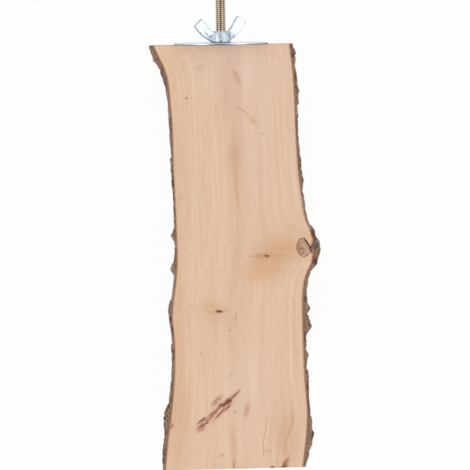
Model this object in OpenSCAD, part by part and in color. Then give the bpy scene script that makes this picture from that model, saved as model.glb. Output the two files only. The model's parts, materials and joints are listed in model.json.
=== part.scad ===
// Live-edge perch board for a bird cage, clamped by a stud, washer and wing nut.
// Origin: centre of the sawn cage end of the board, on the stud's axis.
// +Y points out along the stud, +X to the knotty edge, +Z up from the perching face.

/* [Board] */
// Length of the board, cage end to far end
board_length = 270; // [200:5:350]
// Width that the two live edges are shared out from
board_w = 86; // [70:1:110]
// Thickness of the board
board_t = 18; // [16:1:26]
// How far the live edge swells past the face, at half thickness
edge_swell = 0.8; // [0:0.1:2]
// Angle of the far saw cut, off square
far_skew = 0.65; // [0:0.05:3]

/* [Bark] */
// Usual thickness of the bark
bark_t = 1.7; // [1:0.1:3]
// Number of furrows along each edge
bark_furrows = 23; // [0:1:40]
// Depth of the furrows, as a share of the bark's thickness
furrow_share = 0.2; // [0:0.02:0.4]
// Share of its thickness that the bark has worn away at the two faces
worn_share = 0.12; // [0:0.02:0.25]

/* [Dead knot] */
// Width of the knot, measured square to the branch
knot_d = 9.5; // [6:0.5:12]
// Width at the knot's inner end
knot_root_d = 6; // [3:0.5:6]
// How far the branch runs into the wood, along itself
knot_depth = 12; // [8:0.5:15]
// Lean of the branch, which makes its cut end oval
knot_lean = 41; // [0:1:50]
// Wood left between the knot and the bark
knot_wall = 0.8; // [0.5:0.1:4]
// Dried gap round the knot
knot_gap = 0.15; // [0.1:0.05:0.4]
// Distance from the knot's middle to the flat side, where the wood has split from it
knot_split = 4.2; // [3:0.1:6]
// Direction in which the flat side faces, from +X towards +Y
split_turn = 34; // [-90:1:90]
// Width of the crack along the flat side
split_gap = 0.7; // [0.2:0.1:1]

/* [Hanger bolt] */
// Crest diameter of the machine thread
stud_d = 6.35; // [5:0.05:8]
// Rise of the machine thread in one turn
thread_pitch = 1.27; // [1:0.01:1.5]
// Length that stands out of the board
stud_out = 28.6; // [22:0.1:45]
// Bevel at the free tip
stud_bevel = 0.8; // [0.4:0.1:1.2]
// Diameter of the plain shank
shank_d = 5.5; // [4.6:0.1:7]
// Length of the plain shank
shank_length = 6; // [3:0.5:10]
// Core diameter of the wood thread
core_d = 4.4; // [3.5:0.1:4.5]
// Length of the wood thread without its point
core_length = 11.5; // [8:0.5:20]
// Length of the point
point_length = 4.5; // [3:0.5:8]
// Diameter of the point's blunt end
point_d = 0.8; // [0.4:0.1:1.5]

/* [Washer] */
// Outer diameter of the washer
washer_d = 60; // [40:1:70]
// Thickness of the washer
washer_t = 1.2; // [1:0.1:2.5]
// Play between the stud and the washer's hole, on each side
washer_play = 0.35; // [0.2:0.05:0.8]
// Bevel that the stamping leaves on the rims
washer_bevel = 0.2; // [0.1:0.05:0.3]

/* [Wing nut] */
// Running clearance between the nut's bore and the thread crests
nut_play = 0.05; // [0.03:0.01:0.1]
// Height of the hub
hub_h = 7.3; // [6:0.1:10]
// Wall of the hub at its top
hub_wall = 2.1; // [1.6:0.1:3]
// How much wider the hub is at its base, on each side
hub_flare = 1.05; // [0:0.05:2]
// Height of the straight band at the hub's base
hub_band = 0.9; // [0.5:0.1:2]
// Bevel of the hub's top rim
hub_bevel = 0.5; // [0.2:0.1:0.8]
// Countersink at both ends of the bore
bore_bevel = 0.6; // [0.3:0.1:1]
// Reach of each wing from the axis
wing_reach = 17.6; // [14:0.2:22]
// Height of the wings above the hub's base
wing_h = 16.2; // [13:0.2:20]
// Thickness of a wing at the hub
wing_root_t = 3.4; // [2.5:0.1:4]
// Thickness of a wing at its tip
wing_tip_t = 2.2; // [1.6:0.1:2.5]
// Turn of the tightened nut about the stud
wing_turn = 20; // [-90:1:90]
// Skew of the bent wings in their own plane
wing_skew = 3.5; // [0:0.5:5]

/* [Hidden] */
$fn = 64;

// Overrun of every cut past the face that it leaves
over = 2;

// Places along the board, as shares of its length, each with the wood's edge
// as a share of the width, measured from the stud's axis
left_edge_shares = [
    [0, 0.495], [0.03, 0.45], [0.055, 0.413], [0.09, 0.387], [0.14, 0.374], [0.19, 0.362],
    [0.3, 0.357], [0.4, 0.346], [0.5, 0.34], [0.55, 0.349], [0.6, 0.371], [0.64, 0.382],
    [0.7, 0.368], [0.78, 0.372], [0.86, 0.396], [0.93, 0.427], [1, 0.45]
];
right_edge_shares = [
    [0, 0.498], [0.06, 0.52], [0.12, 0.531], [0.2, 0.537], [0.3, 0.553], [0.37, 0.578],
    [0.41, 0.598], [0.455, 0.65], [0.51, 0.648], [0.55, 0.593], [0.6, 0.571], [0.7, 0.572],
    [0.78, 0.579], [0.86, 0.595], [0.92, 0.588], [1, 0.556]
];

// The same places, each with the bark's thickness as a share of the usual one
left_bark_shares = [
    [0, 1.4], [0.03, 2.5], [0.06, 1.7], [0.1, 1.4], [0.15, 0.65], [0.19, 1.4], [0.26, 0.65],
    [0.42, 0.65], [0.45, 1.75], [0.475, 0.65], [0.525, 2.2], [0.55, 0.65], [0.6, 0.65],
    [0.63, 1.4], [0.66, 0.7], [0.72, 1], [0.8, 1.1], [0.88, 2.5], [0.94, 1.4], [1, 0.65]
];
right_bark_shares = [
    [0, 1.4], [0.03, 1.7], [0.06, 1], [0.11, 1.75], [0.14, 1], [0.2, 0.65], [0.3, 1],
    [0.38, 0.65], [0.44, 1.3], [0.483, 2.9], [0.515, 1.45], [0.58, 1.1], [0.622, 2.5],
    [0.642, 1.7], [0.66, 3.3], [0.69, 1.1], [0.74, 1.4], [0.85, 0.65], [0.925, 2.5],
    [0.96, 1.7], [1, 0.65]
];

// Heights of the loft's points, as shares of the thickness: the outermost lie past
// the faces, so that the saw cuts trim them
level_shares = [-0.62, -0.25, 0, 0.25, 0.62];
// Steps of the loft along the board
edge_steps = 72;
// How much the furrows wander from one level to the next, in turns
furrow_wander = 0.8;
// How much less a second row of furrows repeats along the board
second_row_share = 0.61;

// Place of the knot along the board
knot_place_share = 0.481;

// Width and depth of the thread's V-shaped root, as shares of the pitch
root_width_share = 0.875;
root_depth_share = 0.61;

// Outline of one wing: share of the way from hub to tip, share of the wing's height,
// and the share of the wing's height that is cut off to round the corner
wing_shares = [
    [0, 0.02, 0], [0.19, 0.06, 0.04], [0.4, 0.185, 0.08], [0.615, 0.32, 0.12],
    [1, 0.73, 0.07], [0.6, 1, 0.03], [0.19, 0.525, 0.05], [0.09, 0.45, 0.03], [0, 0.4, 0]
];
// Steps of one rounded corner
corner_steps = 4;
// Where in the hub's wall the wings start
wing_start_share = 0.4;

bore_r = stud_d / 2 + nut_play;
hub_top_r = bore_r + hub_wall;
hub_base_r = hub_top_r + hub_flare;
knot_place_x = edge_at(right_edge_shares, knot_place_share) - knot_d / 2 - knot_wall;

// Index of the stretch of a table that place p lies on
function stretch_of(table, p, i = 0) =
    i >= len(table) - 2 || p < table[i + 1][0] ? i : stretch_of(table, p, i + 1);

// Steepness of a table's curve at its point i
function slope_of(table, i) =
    let (a = max(i - 1, 0), b = min(i + 1, len(table) - 1))
    (table[b][1] - table[a][1]) / (table[b][0] - table[a][0]);

// Smooth curve through a table's points, read at place p and level beyond its ends
function read_smooth(table, p) =
    let (
        i = stretch_of(table, p),
        step = table[i + 1][0] - table[i][0],
        u = min(max((p - table[i][0]) / step, 0), 1),
        w = 1 - u
    )
    table[i][1] * w * w * (1 + 2 * u)
    + table[i + 1][1] * u * u * (3 - 2 * u)
    + step * u * w * (slope_of(table, i) * w - slope_of(table, i + 1) * u);

// Distance of the wood's edge from the stud's axis, on the board's face
function edge_at(table, p) = board_w * read_smooth(table, p);

// The same at a height: the edge swells between the two faces
function wood_at(table, p, level) = edge_at(table, p) + edge_swell * (1 - 4 * level * level);

// Thickness of the bark at a height, with its furrows and worn lips
function bark_at(table, p, level) =
    let (
        turn = 360 * bark_furrows * p,
        wander = 360 * furrow_wander * level,
        furrows = sin(turn + wander) * cos(second_row_share * turn - wander)
    )
    bark_t * read_smooth(table, p) * (1 + furrow_share * furrows)
    * (1 - worn_share * pow(2 * level, 4));

// Places of the loft's rings, from just before the cage end to just past the far end
function place_of(i) = (i / edge_steps) * (1 + 2 * over / board_length) - over / board_length;

// One upright row of a ring's points on the wood's edge; side is -1 or 1
function wood_row(side, table, p) = [
    for (level = level_shares)
        [side * wood_at(table, p, level), -p * board_length, level * board_t]
];

// The row of the bark's outer points at the same place
function bark_row(side, edges, barks, p) = [
    for (level = level_shares)
        [
            side * (wood_at(edges, p, level) + bark_at(barks, p, level)),
            -p * board_length,
            level * board_t
        ]
];

// The same points, last one first
function turned(row) = [for (i = [len(row) - 1:-1:0]) row[i]];

// Skin through rings of n points; flip turns its faces for rings that run the other way
module loft(rings, flip) {
    n = len(rings[0]);
    last = len(rings) - 1;
    sides = [
        for (i = [0:last - 1], j = [0:n - 1])
            let (
                a = i * n + j,
                b = i * n + (j + 1) % n,
                c = (i + 1) * n + (j + 1) % n,
                d = (i + 1) * n + j
            )
            each [[a, b, c], [a, c, d]]
    ];
    ends = [[for (j = [n - 1:-1:0]) j], [for (j = [0:n - 1]) last * n + j]];
    faces = concat(sides, ends);
    polyhedron(
        points = [for (ring = rings) each ring],
        faces = flip ? [for (face = faces) turned(face)] : faces,
        convexity = 6
    );
}

// Space between the four saw cuts: both faces, the cage end and the far end
module sawn_space() {
    difference() {
        translate([-board_w, -board_length - over, -board_t / 2])
            cube([2 * board_w, board_length + over, board_t]);
        translate([0, -board_length, 0])
            rotate([0, 0, far_skew])
                translate([-2 * board_w, -board_length, -board_t])
                    cube([4 * board_w, board_length, 2 * board_t]);
    }
}

// Branch that the knot is the stump of, thinner all round by the gap, and cut flat
// where the wood has split from it, further in by the crack
module branch(gap, crack) {
    translate([knot_place_x, -knot_place_share * board_length, 0])
        difference() {
            translate([0, 0, board_t / 2])
                rotate([-knot_lean, 0, 0])
                    translate([0, 0, -knot_depth])
                        cylinder(
                            h = knot_depth + board_t / 2,
                            r1 = knot_root_d / 2 - gap,
                            r2 = knot_top_r() - gap
                        );
            rotate([0, 0, split_turn])
                translate([knot_split - crack, -board_w / 2, -board_t])
                    cube([board_w / 2, board_w, 3 * board_t]);
        }
}

// Radius of the branch where its cone ends, above the board, at the knot's own taper
function knot_top_r() =
    knot_root_d / 2 + (knot_d - knot_root_d) / 2 * (knot_depth + board_t / 2) / knot_depth;

// Half section of the hanger bolt, from its point to its bevelled tip. The machine
// thread is its crest cylinder, with one root cut in where it leaves the tight nut
module bolt_section() {
    shank_y = -shank_length;
    core_y = shank_y - core_length;
    root_y = washer_t + hub_h - bore_bevel / 2;
    root_w = root_width_share * thread_pitch;
    polygon([
        [0, core_y - point_length],
        [point_d / 2, core_y - point_length],
        [core_d / 2, core_y],
        [core_d / 2, shank_y],
        [shank_d / 2, shank_y],
        [shank_d / 2, 0],
        [stud_d / 2, 0],
        [stud_d / 2, root_y - root_w / 2],
        [stud_d / 2 - root_depth_share * thread_pitch, root_y],
        [stud_d / 2, root_y + root_w / 2],
        [stud_d / 2, stud_out - stud_bevel],
        [stud_d / 2 - stud_bevel, stud_out],
        [0, stud_out]
    ]);
}

// Turns a half section about the stud's axis
module about_stud() {
    rotate([-90, 0, 0]) rotate_extrude() children();
}

module board() {
    color("burlywood")
        difference() {
            intersection() {
                loft(
                    [
                        for (i = [0:edge_steps])
                            let (p = place_of(i))
                            concat(
                                wood_row(-1, left_edge_shares, p),
                                turned(wood_row(1, right_edge_shares, p))
                            )
                    ],
                    false
                );
                sawn_space();
            }
            about_stud() bolt_section();
            branch(0, 0);
        }
}

module left_bark() {
    color("dimgray")
        intersection() {
            loft(
                [
                    for (i = [0:edge_steps])
                        let (p = place_of(i))
                        concat(
                            wood_row(-1, left_edge_shares, p),
                            turned(bark_row(-1, left_edge_shares, left_bark_shares, p))
                        )
                ],
                true
            );
            sawn_space();
        }
}

module right_bark() {
    color("dimgray")
        intersection() {
            loft(
                [
                    for (i = [0:edge_steps])
                        let (p = place_of(i))
                        concat(
                            turned(wood_row(1, right_edge_shares, p)),
                            bark_row(1, right_edge_shares, right_bark_shares, p)
                        )
                ],
                true
            );
            sawn_space();
        }
}

module knot() {
    color("saddlebrown")
        intersection() {
            branch(knot_gap, split_gap);
            sawn_space();
        }
}

module hanger_bolt() {
    color("darkkhaki") about_stud() bolt_section();
}

module washer() {
    hole_r = stud_d / 2 + washer_play;
    rim_r = washer_d / 2;
    color("lightsteelblue")
        about_stud()
            polygon([
                [hole_r + washer_bevel, 0],
                [rim_r - washer_bevel, 0],
                [rim_r, washer_bevel],
                [rim_r, washer_t - washer_bevel],
                [rim_r - washer_bevel, washer_t],
                [hole_r + washer_bevel, washer_t],
                [hole_r, washer_t - washer_bevel],
                [hole_r, washer_bevel]
            ]);
}

// Half section of the nut's hub with its countersunk bore, base at zero
module hub_section() {
    polygon([
        [bore_r + bore_bevel, 0],
        [hub_base_r, 0],
        [hub_base_r, hub_band],
        [hub_top_r, hub_h - hub_bevel],
        [hub_top_r - hub_bevel, hub_h],
        [bore_r + bore_bevel, hub_h],
        [bore_r, hub_h - bore_bevel],
        [bore_r, bore_bevel]
    ]);
}

// Outline with each corner's third value cut back along both sides, at most to their
// middles, and rounded between
function rounded(corners) =
    let (n = len(corners))
    [
        for (i = [0:n - 1])
            let (
                at = [corners[i][0], corners[i][1]],
                before = [corners[(i + n - 1) % n][0], corners[(i + n - 1) % n][1]],
                after = [corners[(i + 1) % n][0], corners[(i + 1) % n][1]],
                cut = min(corners[i][2], norm(before - at) / 2, norm(after - at) / 2),
                from = at + (before - at) * cut / norm(before - at),
                to = at + (after - at) * cut / norm(after - at)
            )
            each cut == 0 ? [at] : [
                for (k = [0:corner_steps])
                    let (u = k / corner_steps)
                    from * (1 - u) * (1 - u) + at * 2 * u * (1 - u) + to * u * u
            ]
    ];

// One wing, standing up from the hub's base: a rounded outline, thinner towards its tip
module wing() {
    start = bore_r + wing_start_share * hub_wall;
    reach = wing_reach - start;
    rotate([90, 0, 0])
        linear_extrude(height = wing_root_t, center = true)
            polygon(rounded([
                for (s = wing_shares) [start + s[0] * reach, s[1] * wing_h, s[2] * wing_h]
            ]));
}

// Plan of both wings, which gives them their taper
module wing_plan() {
    linear_extrude(height = 3 * wing_h, center = true)
        polygon([
            [-wing_reach - over, -wing_tip_t / 2],
            [0, -wing_root_t / 2],
            [wing_reach + over, -wing_tip_t / 2],
            [wing_reach + over, wing_tip_t / 2],
            [0, wing_root_t / 2],
            [-wing_reach - over, wing_tip_t / 2]
        ]);
}

module wing_nut() {
    color("silver")
        translate([0, washer_t, 0])
            rotate([-90, 0, 0])
                rotate([0, 0, wing_turn]) {
                    difference() {
                        union() {
                            rotate_extrude() hub_section();
                            rotate([0, -wing_skew, 0])
                                intersection() {
                                    union() {
                                        wing();
                                        mirror([1, 0, 0]) wing();
                                    }
                                    wing_plan();
                                }
                        }
                        // The thread's passage stays clear of the wings
                        translate([0, 0, -over]) cylinder(h = wing_h + 2 * over, r = bore_r);
                        // So does the space under the base
                        translate([0, 0, -wing_h]) cylinder(h = wing_h, r = wing_reach + over);
                    }
                }
}

board();
left_bark();
right_bark();
knot();
hanger_bolt();
washer();
wing_nut();
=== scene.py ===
import json
import math

import bmesh
import bpy
from bpy.props import FloatProperty, FloatVectorProperty, PointerProperty
from mathutils import Matrix, Vector, noise

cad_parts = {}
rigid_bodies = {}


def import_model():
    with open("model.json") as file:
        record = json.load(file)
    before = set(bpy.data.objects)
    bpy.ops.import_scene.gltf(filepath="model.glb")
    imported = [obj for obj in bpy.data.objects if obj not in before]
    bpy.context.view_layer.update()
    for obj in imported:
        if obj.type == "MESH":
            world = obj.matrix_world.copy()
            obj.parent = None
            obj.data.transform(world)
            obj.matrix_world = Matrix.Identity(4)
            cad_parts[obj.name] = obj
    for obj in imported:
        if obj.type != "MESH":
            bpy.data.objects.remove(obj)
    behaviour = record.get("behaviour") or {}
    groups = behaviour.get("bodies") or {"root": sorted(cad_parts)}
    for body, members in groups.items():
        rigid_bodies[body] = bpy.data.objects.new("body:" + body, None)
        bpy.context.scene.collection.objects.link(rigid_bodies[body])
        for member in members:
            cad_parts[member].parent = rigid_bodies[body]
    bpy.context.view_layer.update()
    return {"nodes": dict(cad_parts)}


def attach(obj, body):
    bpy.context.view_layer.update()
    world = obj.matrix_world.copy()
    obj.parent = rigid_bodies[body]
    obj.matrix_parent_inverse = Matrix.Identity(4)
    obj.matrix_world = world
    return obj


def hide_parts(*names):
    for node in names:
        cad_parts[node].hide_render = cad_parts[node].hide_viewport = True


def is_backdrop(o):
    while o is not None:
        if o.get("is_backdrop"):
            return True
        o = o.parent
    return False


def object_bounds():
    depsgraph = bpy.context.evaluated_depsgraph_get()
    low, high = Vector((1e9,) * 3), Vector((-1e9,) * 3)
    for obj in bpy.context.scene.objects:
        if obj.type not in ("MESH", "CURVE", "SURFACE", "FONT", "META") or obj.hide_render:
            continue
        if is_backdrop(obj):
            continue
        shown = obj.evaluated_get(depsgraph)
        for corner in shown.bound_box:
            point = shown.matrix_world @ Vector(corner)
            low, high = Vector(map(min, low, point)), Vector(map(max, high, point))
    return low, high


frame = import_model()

bl_info = {
    "name": "Live-edge Bird Perch",
    "version": (1, 0, 0),
    "blender": (4, 5, 0),
    "location": "View3D > Sidebar > Bird Perch",
    "description": "Dresses the solids of a live-edge perch board, its stud, washer and wing nut",
    "category": "Object",
}

MM = 0.001

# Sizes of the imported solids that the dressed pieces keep, in millimetres
BOARD_TOP = 9.0
BOARD_LENGTH = 270.0
KNOT_MIDDLE = (50.4, -129.9)
# Where the knot's crack runs on: place, half length, half width, colour
KNOT_CRACK = [(57.2, -135.2, 3.0, 0.42, (120, 74, 46)), (55.3, -131.4, 3.0, 0.42, (92, 62, 44))]
CREST_R = 3.175
PITCH = 1.27
STUD_OUT = 28.6
STUD_BEVEL = 0.8
SHANK_R = 2.75
SHANK_END = -6.0
CORE_R = 2.2
CORE_END = -17.5
POINT_END = -22.0
POINT_R = 0.4
WASHER_R = 30.0
WASHER_HOLE_R = 3.525
WASHER_T = 1.2
HUB_H = 7.3

# Doubles closer than this are merged
WELD = 0.002 * MM
# Turn of the far saw cut in degrees, and the place past which a surface belongs to it
FAR_SKEW = 0.65
FAR_CUT = -269.2
# The tree's middle and the drying crack, across the board
PITH_X = 12.0
CRACK_X = 4.7
# What the camera looks at, in millimetres
PICTURE_MIDDLE = (7.23, -120.95, BOARD_TOP)
CAMERA_Y = 70.0
SENSOR_WIDTH = 36.0
# The lamps' place and size, in metres
LAMP_PLACE = (1.1, -0.05, 1.1)
LAMP_SIZE = 1.2
# The stud's thread as modelled: turns, and where it starts in pitches; both ends are trimmed
THREAD_TURNS = 27
THREAD_START = -2.45
# Ridge of the wood thread
RIDGE_R = 3.0
RIDGE_PITCH = 2.8
RIDGE_TURNS = 7


# ---------------------------------------------------------------- hand tools

def deselect():
    """Leaves edit mode and deselects everything."""
    active = bpy.context.view_layer.objects.active
    if active is not None and active.mode != "OBJECT":
        bpy.ops.object.mode_set(mode="OBJECT")
    bpy.ops.object.select_all(action="DESELECT")


def take(piece):
    """Makes a piece the only one selected, and the active one."""
    deselect()
    piece.select_set(True)
    bpy.context.view_layer.objects.active = piece


def edit(piece):
    take(piece)
    bpy.ops.object.mode_set(mode="EDIT")


def pick(piece, kind, test):
    """Selects, in edit mode, the vertices, edges or faces that pass a test."""
    bpy.ops.mesh.select_mode(type=kind)
    bpy.ops.mesh.select_all(action="DESELECT")
    mesh = bmesh.from_edit_mesh(piece.data)
    mesh.normal_update()
    items = {"VERT": mesh.verts, "EDGE": mesh.edges, "FACE": mesh.faces}[kind]
    for item in items:
        if test(item):
            item.select_set(True)
    mesh.select_flush_mode()
    bmesh.update_edit_mesh(piece.data)


def end_edit():
    bpy.ops.object.mode_set(mode="OBJECT")


def modify(piece, kind, **settings):
    """Adds a modifier with its settings and applies it."""
    take(piece)
    modifier = piece.modifiers.new(kind.title(), kind)
    for key, value in settings.items():
        setattr(modifier, key, value)
    result = bpy.ops.object.modifier_apply(modifier=modifier.name)
    if "FINISHED" not in result or piece.modifiers:
        raise RuntimeError(f"{kind} did not work on {piece.name}")


def join_solid(piece, tool, operation):
    """Boolean of a piece with a tool, which is used up."""
    modify(piece, "BOOLEAN", operation=operation, object=tool, solver="MANIFOLD")
    bpy.data.objects.remove(tool)


def copy_of(node, name):
    """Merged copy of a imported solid, as a piece of its own."""
    take(frame["nodes"][node])
    bpy.ops.object.duplicate()
    piece = bpy.context.object
    bpy.ops.object.parent_clear(type="CLEAR_KEEP_TRANSFORM")
    for key in list(piece.keys()):
        del piece[key]
    piece.name = name
    edit(piece)
    bpy.ops.mesh.select_all(action="SELECT")
    bpy.ops.mesh.remove_doubles(threshold=WELD)
    bpy.ops.mesh.dissolve_limited(angle_limit=math.radians(0.4))
    end_edit()
    return piece


def profile_line(name, points):
    """Open line through points (distance from the stud's axis, place along it)."""
    deselect()
    bpy.ops.mesh.primitive_plane_add(size=MM)
    piece = bpy.context.object
    piece.name = name
    edit(piece)
    pick(piece, "VERT", lambda v: v.co.y > 0)
    bpy.ops.mesh.delete(type="VERT")
    bpy.ops.mesh.select_all(action="SELECT")
    bpy.ops.mesh.subdivide(number_cuts=len(points) - 2)
    mesh = bmesh.from_edit_mesh(piece.data)
    row = sorted(mesh.verts, key=lambda v: v.co.x)
    for vertex, (out, along) in zip(row, points):
        vertex.co = Vector((out, along, 0)) * MM
    bmesh.update_edit_mesh(piece.data)
    end_edit()
    return piece


def close_up(piece, weld=WELD, flat=False):
    """Merges doubles, fills open ends, flat or as a fan, and turns the faces outwards."""
    edit(piece)
    bpy.ops.mesh.select_all(action="SELECT")
    bpy.ops.mesh.remove_doubles(threshold=weld)
    bpy.ops.mesh.select_all(action="DESELECT")
    bpy.ops.mesh.select_mode(type="EDGE")
    bpy.ops.mesh.select_non_manifold(use_multi_face=False, use_non_contiguous=False, use_verts=False)
    if flat:
        bpy.ops.mesh.edge_face_add()
    elif any(e.select for e in bmesh.from_edit_mesh(piece.data).edges):
        bpy.ops.mesh.extrude_edges_move()
        bpy.ops.mesh.merge(type="COLLAPSE")
    bpy.ops.mesh.select_all(action="SELECT")
    bpy.ops.mesh.normals_make_consistent(inside=False)
    end_edit()
    return piece


def turned_bar(name, points, steps=64):
    """Solid turned about the stud's axis from a half section that starts and ends on it."""
    piece = profile_line(name, points)
    modify(piece, "SCREW", axis="Y", steps=steps, render_steps=steps, use_merge_vertices=True,
           merge_threshold=WELD)
    return close_up(piece)


def threaded_bar(name, section, pitch, turns, steps=36):
    """Bar with a right-hand thread; section is one turn's profile, one pitch long."""
    piece = profile_line(name, section)
    modify(piece, "SCREW", axis="Y", steps=steps, render_steps=steps, screw_offset=pitch * MM,
           iterations=turns, angle=math.radians(360))
    return close_up(piece)


def settle(piece, body, replaced, material, smooth=30):
    """Applies the place, shades the piece, gives it its finish and ties it to the frame."""
    take(piece)
    bpy.ops.object.transform_apply(location=True, rotation=True, scale=True)
    bpy.ops.object.shade_smooth_by_angle(angle=math.radians(smooth))
    piece.data.materials.clear()
    piece.data.materials.append(material)
    for face in piece.data.polygons:
        face.material_index = 0
    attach(piece, body)
    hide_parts(*replaced)
    deselect()


def smoothstep(low, high, value):
    share = min(max((value - low) / (high - low), 0.0), 1.0)
    return share * share * (3 - 2 * share)


def keep_values(piece, name, values):
    """Keeps one number a vertex, for the piece's finish to read."""
    attribute = piece.data.attributes.new(name, "FLOAT", "POINT")
    attribute.data.foreach_set("value", values)


def painted_edge_shade(piece, passes):
    """How sharply the surface bulges at each vertex, spread a few vertices wide, 0 to 1, as a mask for
    painted edge shade.
    """
    mesh = bmesh.new()
    mesh.from_mesh(piece.data)
    mesh.normal_update()
    bulge_shade = []
    for vertex in mesh.verts:
        bulges = [(vertex.co - edge.other_vert(vertex).co).normalized().dot(vertex.normal)
                  for edge in vertex.link_edges]
        bulge_shade.append(smoothstep(0.12, 0.4, sum(bulges) / max(len(bulges), 1)))
    for _ in range(passes):
        near = [max(bulge_shade[edge.other_vert(vertex).index] for edge in vertex.link_edges)
                for vertex in mesh.verts]
        bulge_shade = [0.5 * own + 0.5 * other for own, other in zip(bulge_shade, near)]
    mesh.free()
    return bulge_shade


# ---------------------------------------------------------------- shader tools

def tone(red, green, blue):
    """Colour as it looks on a screen, 0 to 255, as the shader's own values."""
    def straight(level):
        level /= 255
        return level / 12.92 if level <= 0.04045 else ((level + 0.055) / 1.055) ** 2.4
    return (straight(red), straight(green), straight(blue), 1.0)


def lit(hue, share):
    """A colour made darker or paler, no brighter than white."""
    return tone(*[min(share * level, 255) for level in hue])


class Sheet:
    """Short names for laying shader nodes on one tree."""

    def __init__(self, tree):
        self.tree = tree

    def feed(self, socket, value):
        if isinstance(value, bpy.types.NodeSocket):
            self.tree.links.new(value, socket)
        else:
            socket.default_value = value

    def node(self, kind, inputs=(), **settings):
        item = self.tree.nodes.new("ShaderNode" + kind)
        for key, value in settings.items():
            setattr(item, key, value)
        pairs = inputs.items() if isinstance(inputs, dict) else enumerate(inputs)
        for key, value in pairs:
            self.feed(item.inputs[key], value)
        return item

    def math(self, operation, *values):
        return self.node("Math", values, operation=operation).outputs[0]

    def times(self, first, second):
        return self.math("MULTIPLY", first, second)

    def plus(self, first, second):
        return self.math("ADD", first, second)

    def minus(self, first, second):
        return self.math("SUBTRACT", first, second)

    def vector(self, operation, *values):
        item = self.node("VectorMath", values, operation=operation)
        return item.outputs["Value" if operation in ("LENGTH", "DISTANCE", "DOT_PRODUCT") else "Vector"]

    def scaled(self, place, x, y, z):
        return self.vector("MULTIPLY", place, (x, y, z))

    def split(self, place):
        return self.node("SeparateXYZ", [place]).outputs

    def join(self, x, y, z):
        return self.node("CombineXYZ", [x, y, z]).outputs[0]

    def noise(self, place, scale=1.0, detail=2.0, rough=0.5, twist=0.0, out="Fac"):
        item = self.node("TexNoise", {"Vector": place, "Scale": scale, "Detail": detail,
                                      "Roughness": rough, "Distortion": twist})
        return item.outputs[out]

    def span(self, value, low, high, to_low=0.0, to_high=1.0, smooth=True):
        """Value between low and high, brought smoothly to another span."""
        kind = "SMOOTHSTEP" if smooth else "LINEAR"
        item = self.node("MapRange", [value, low, high, to_low, to_high], interpolation_type=kind)
        return item.outputs[0]

    def blend(self, share, first, second, mode="MIX"):
        item = self.node("Mix", data_type="RGBA", blend_type=mode)
        for index, value in ((0, share), (6, first), (7, second)):
            self.feed(item.inputs[index], value)
        return item.outputs[2]

    def tint(self, base, mask, strength, hue):
        """Lays a colour on base where the mask shows, at a strength."""
        return self.blend(self.times(mask, strength), base, hue)

    def shade(self, base, level):
        """Darkens or lightens base by a number round 1."""
        return self.blend(1.0, base, self.join(level, level, level), "MULTIPLY")

    def dab(self, base, spot, middle, long, wide, turn, softness, strength, hue):
        """Lays a soft ellipse of colour on base."""
        return self.tint(base, self.mark(spot, middle, long, wide, turn, softness), strength, hue)

    def kept(self, name):
        """The number that the piece keeps at each vertex under a name."""
        return self.node("Attribute", attribute_name=name).outputs["Fac"]

    def ramp(self, value, *stops):
        item = self.node("ValToRGB", [value])
        ramp = item.color_ramp
        while len(ramp.elements) < len(stops):
            ramp.elements.new(0.5)
        for element, (at, colour) in zip(ramp.elements, stops):
            element.position = at
            element.color = colour
        return item.outputs[0]

    def curve(self, value, points):
        """Smooth curve through given points, both ways from 0 to 1."""
        item = self.node("FloatCurve", {"Value": value})
        line = item.mapping.curves[0]
        while len(line.points) < len(points):
            line.points.new(0.5, 0.5)
        for knot, (at, height) in zip(line.points, points):
            knot.location = (at, height)
        item.mapping.update()
        return item.outputs[0]

    def use(self, name, **inputs):
        """One of the shared groups, with its own values."""
        item = self.node("Group", node_tree=bpy.data.node_groups[name])
        for key, value in inputs.items():
            self.feed(item.inputs[key.replace("_", " ").title()], value)
        return item.outputs

    def mark(self, spot, middle, long, wide, turn=0.0, softness=0.5, out="Mask"):
        """Soft ellipse round a middle; spot is the surface's place as three numbers."""
        return self.use("Soft Mark", x=spot[0], y=spot[1], z=spot[2], middle_x=middle[0], middle_y=middle[1],
                        middle_z=middle[2], long=long, wide=wide, turn=turn, softness=softness)[out]

    def crack_line(self, base, spot):
        """The knot's crack where it runs on past the knot, into the bark."""
        for px, py, long, wide, hue in KNOT_CRACK:
            base = self.dab(base, spot, (px, py, BOARD_TOP), long, wide, 2.05, 0.35, 0.92, tone(*hue))
        return base

    def place_mm(self):
        """The surface's own place, in millimetres."""
        place = self.node("TexCoord").outputs["Object"]
        return self.vector("MULTIPLY", place, (1000, 1000, 1000))

    def bump(self, height, strength, distance_mm):
        return self.node("Bump", {"Height": height, "Strength": strength,
                                  "Distance": distance_mm * MM}).outputs[0]

    def surface(self, colour, rough, normal, **constants):
        shader = self.node("BsdfPrincipled", {"Base Color": colour, "Roughness": rough,
                                              "Normal": normal, **constants})
        self.node("OutputMaterial", [shader.outputs[0]])


def shader_group(name, inputs, outputs):
    """New shared group. An input with no default is a vector; every output is a number."""
    tree = bpy.data.node_groups.new(name, "ShaderNodeTree")
    for label, default in inputs.items():
        kind = "NodeSocketVector" if default is None else "NodeSocketFloat"
        socket = tree.interface.new_socket(label, in_out="INPUT", socket_type=kind)
        if default is not None:
            socket.default_value = default
    for label in outputs:
        tree.interface.new_socket(label, in_out="OUTPUT", socket_type="NodeSocketFloat")
    return Sheet(tree), tree.nodes.new("NodeGroupInput").outputs, tree.nodes.new("NodeGroupOutput").inputs


def backdrop_rays(sheet):
    """Two masks: camera rays, and camera, glossy and transmission rays together."""
    path = sheet.node("LightPath").outputs
    mirrored = sheet.math("MAXIMUM", path["Is Glossy Ray"], path["Is Transmission Ray"])
    return path["Is Camera Ray"], sheet.math("MAXIMUM", path["Is Camera Ray"], mirrored)


def new_material(name):
    material = bpy.data.materials.new(name)
    material.use_nodes = True
    material.node_tree.nodes.clear()
    return material, Sheet(material.node_tree)


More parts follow.
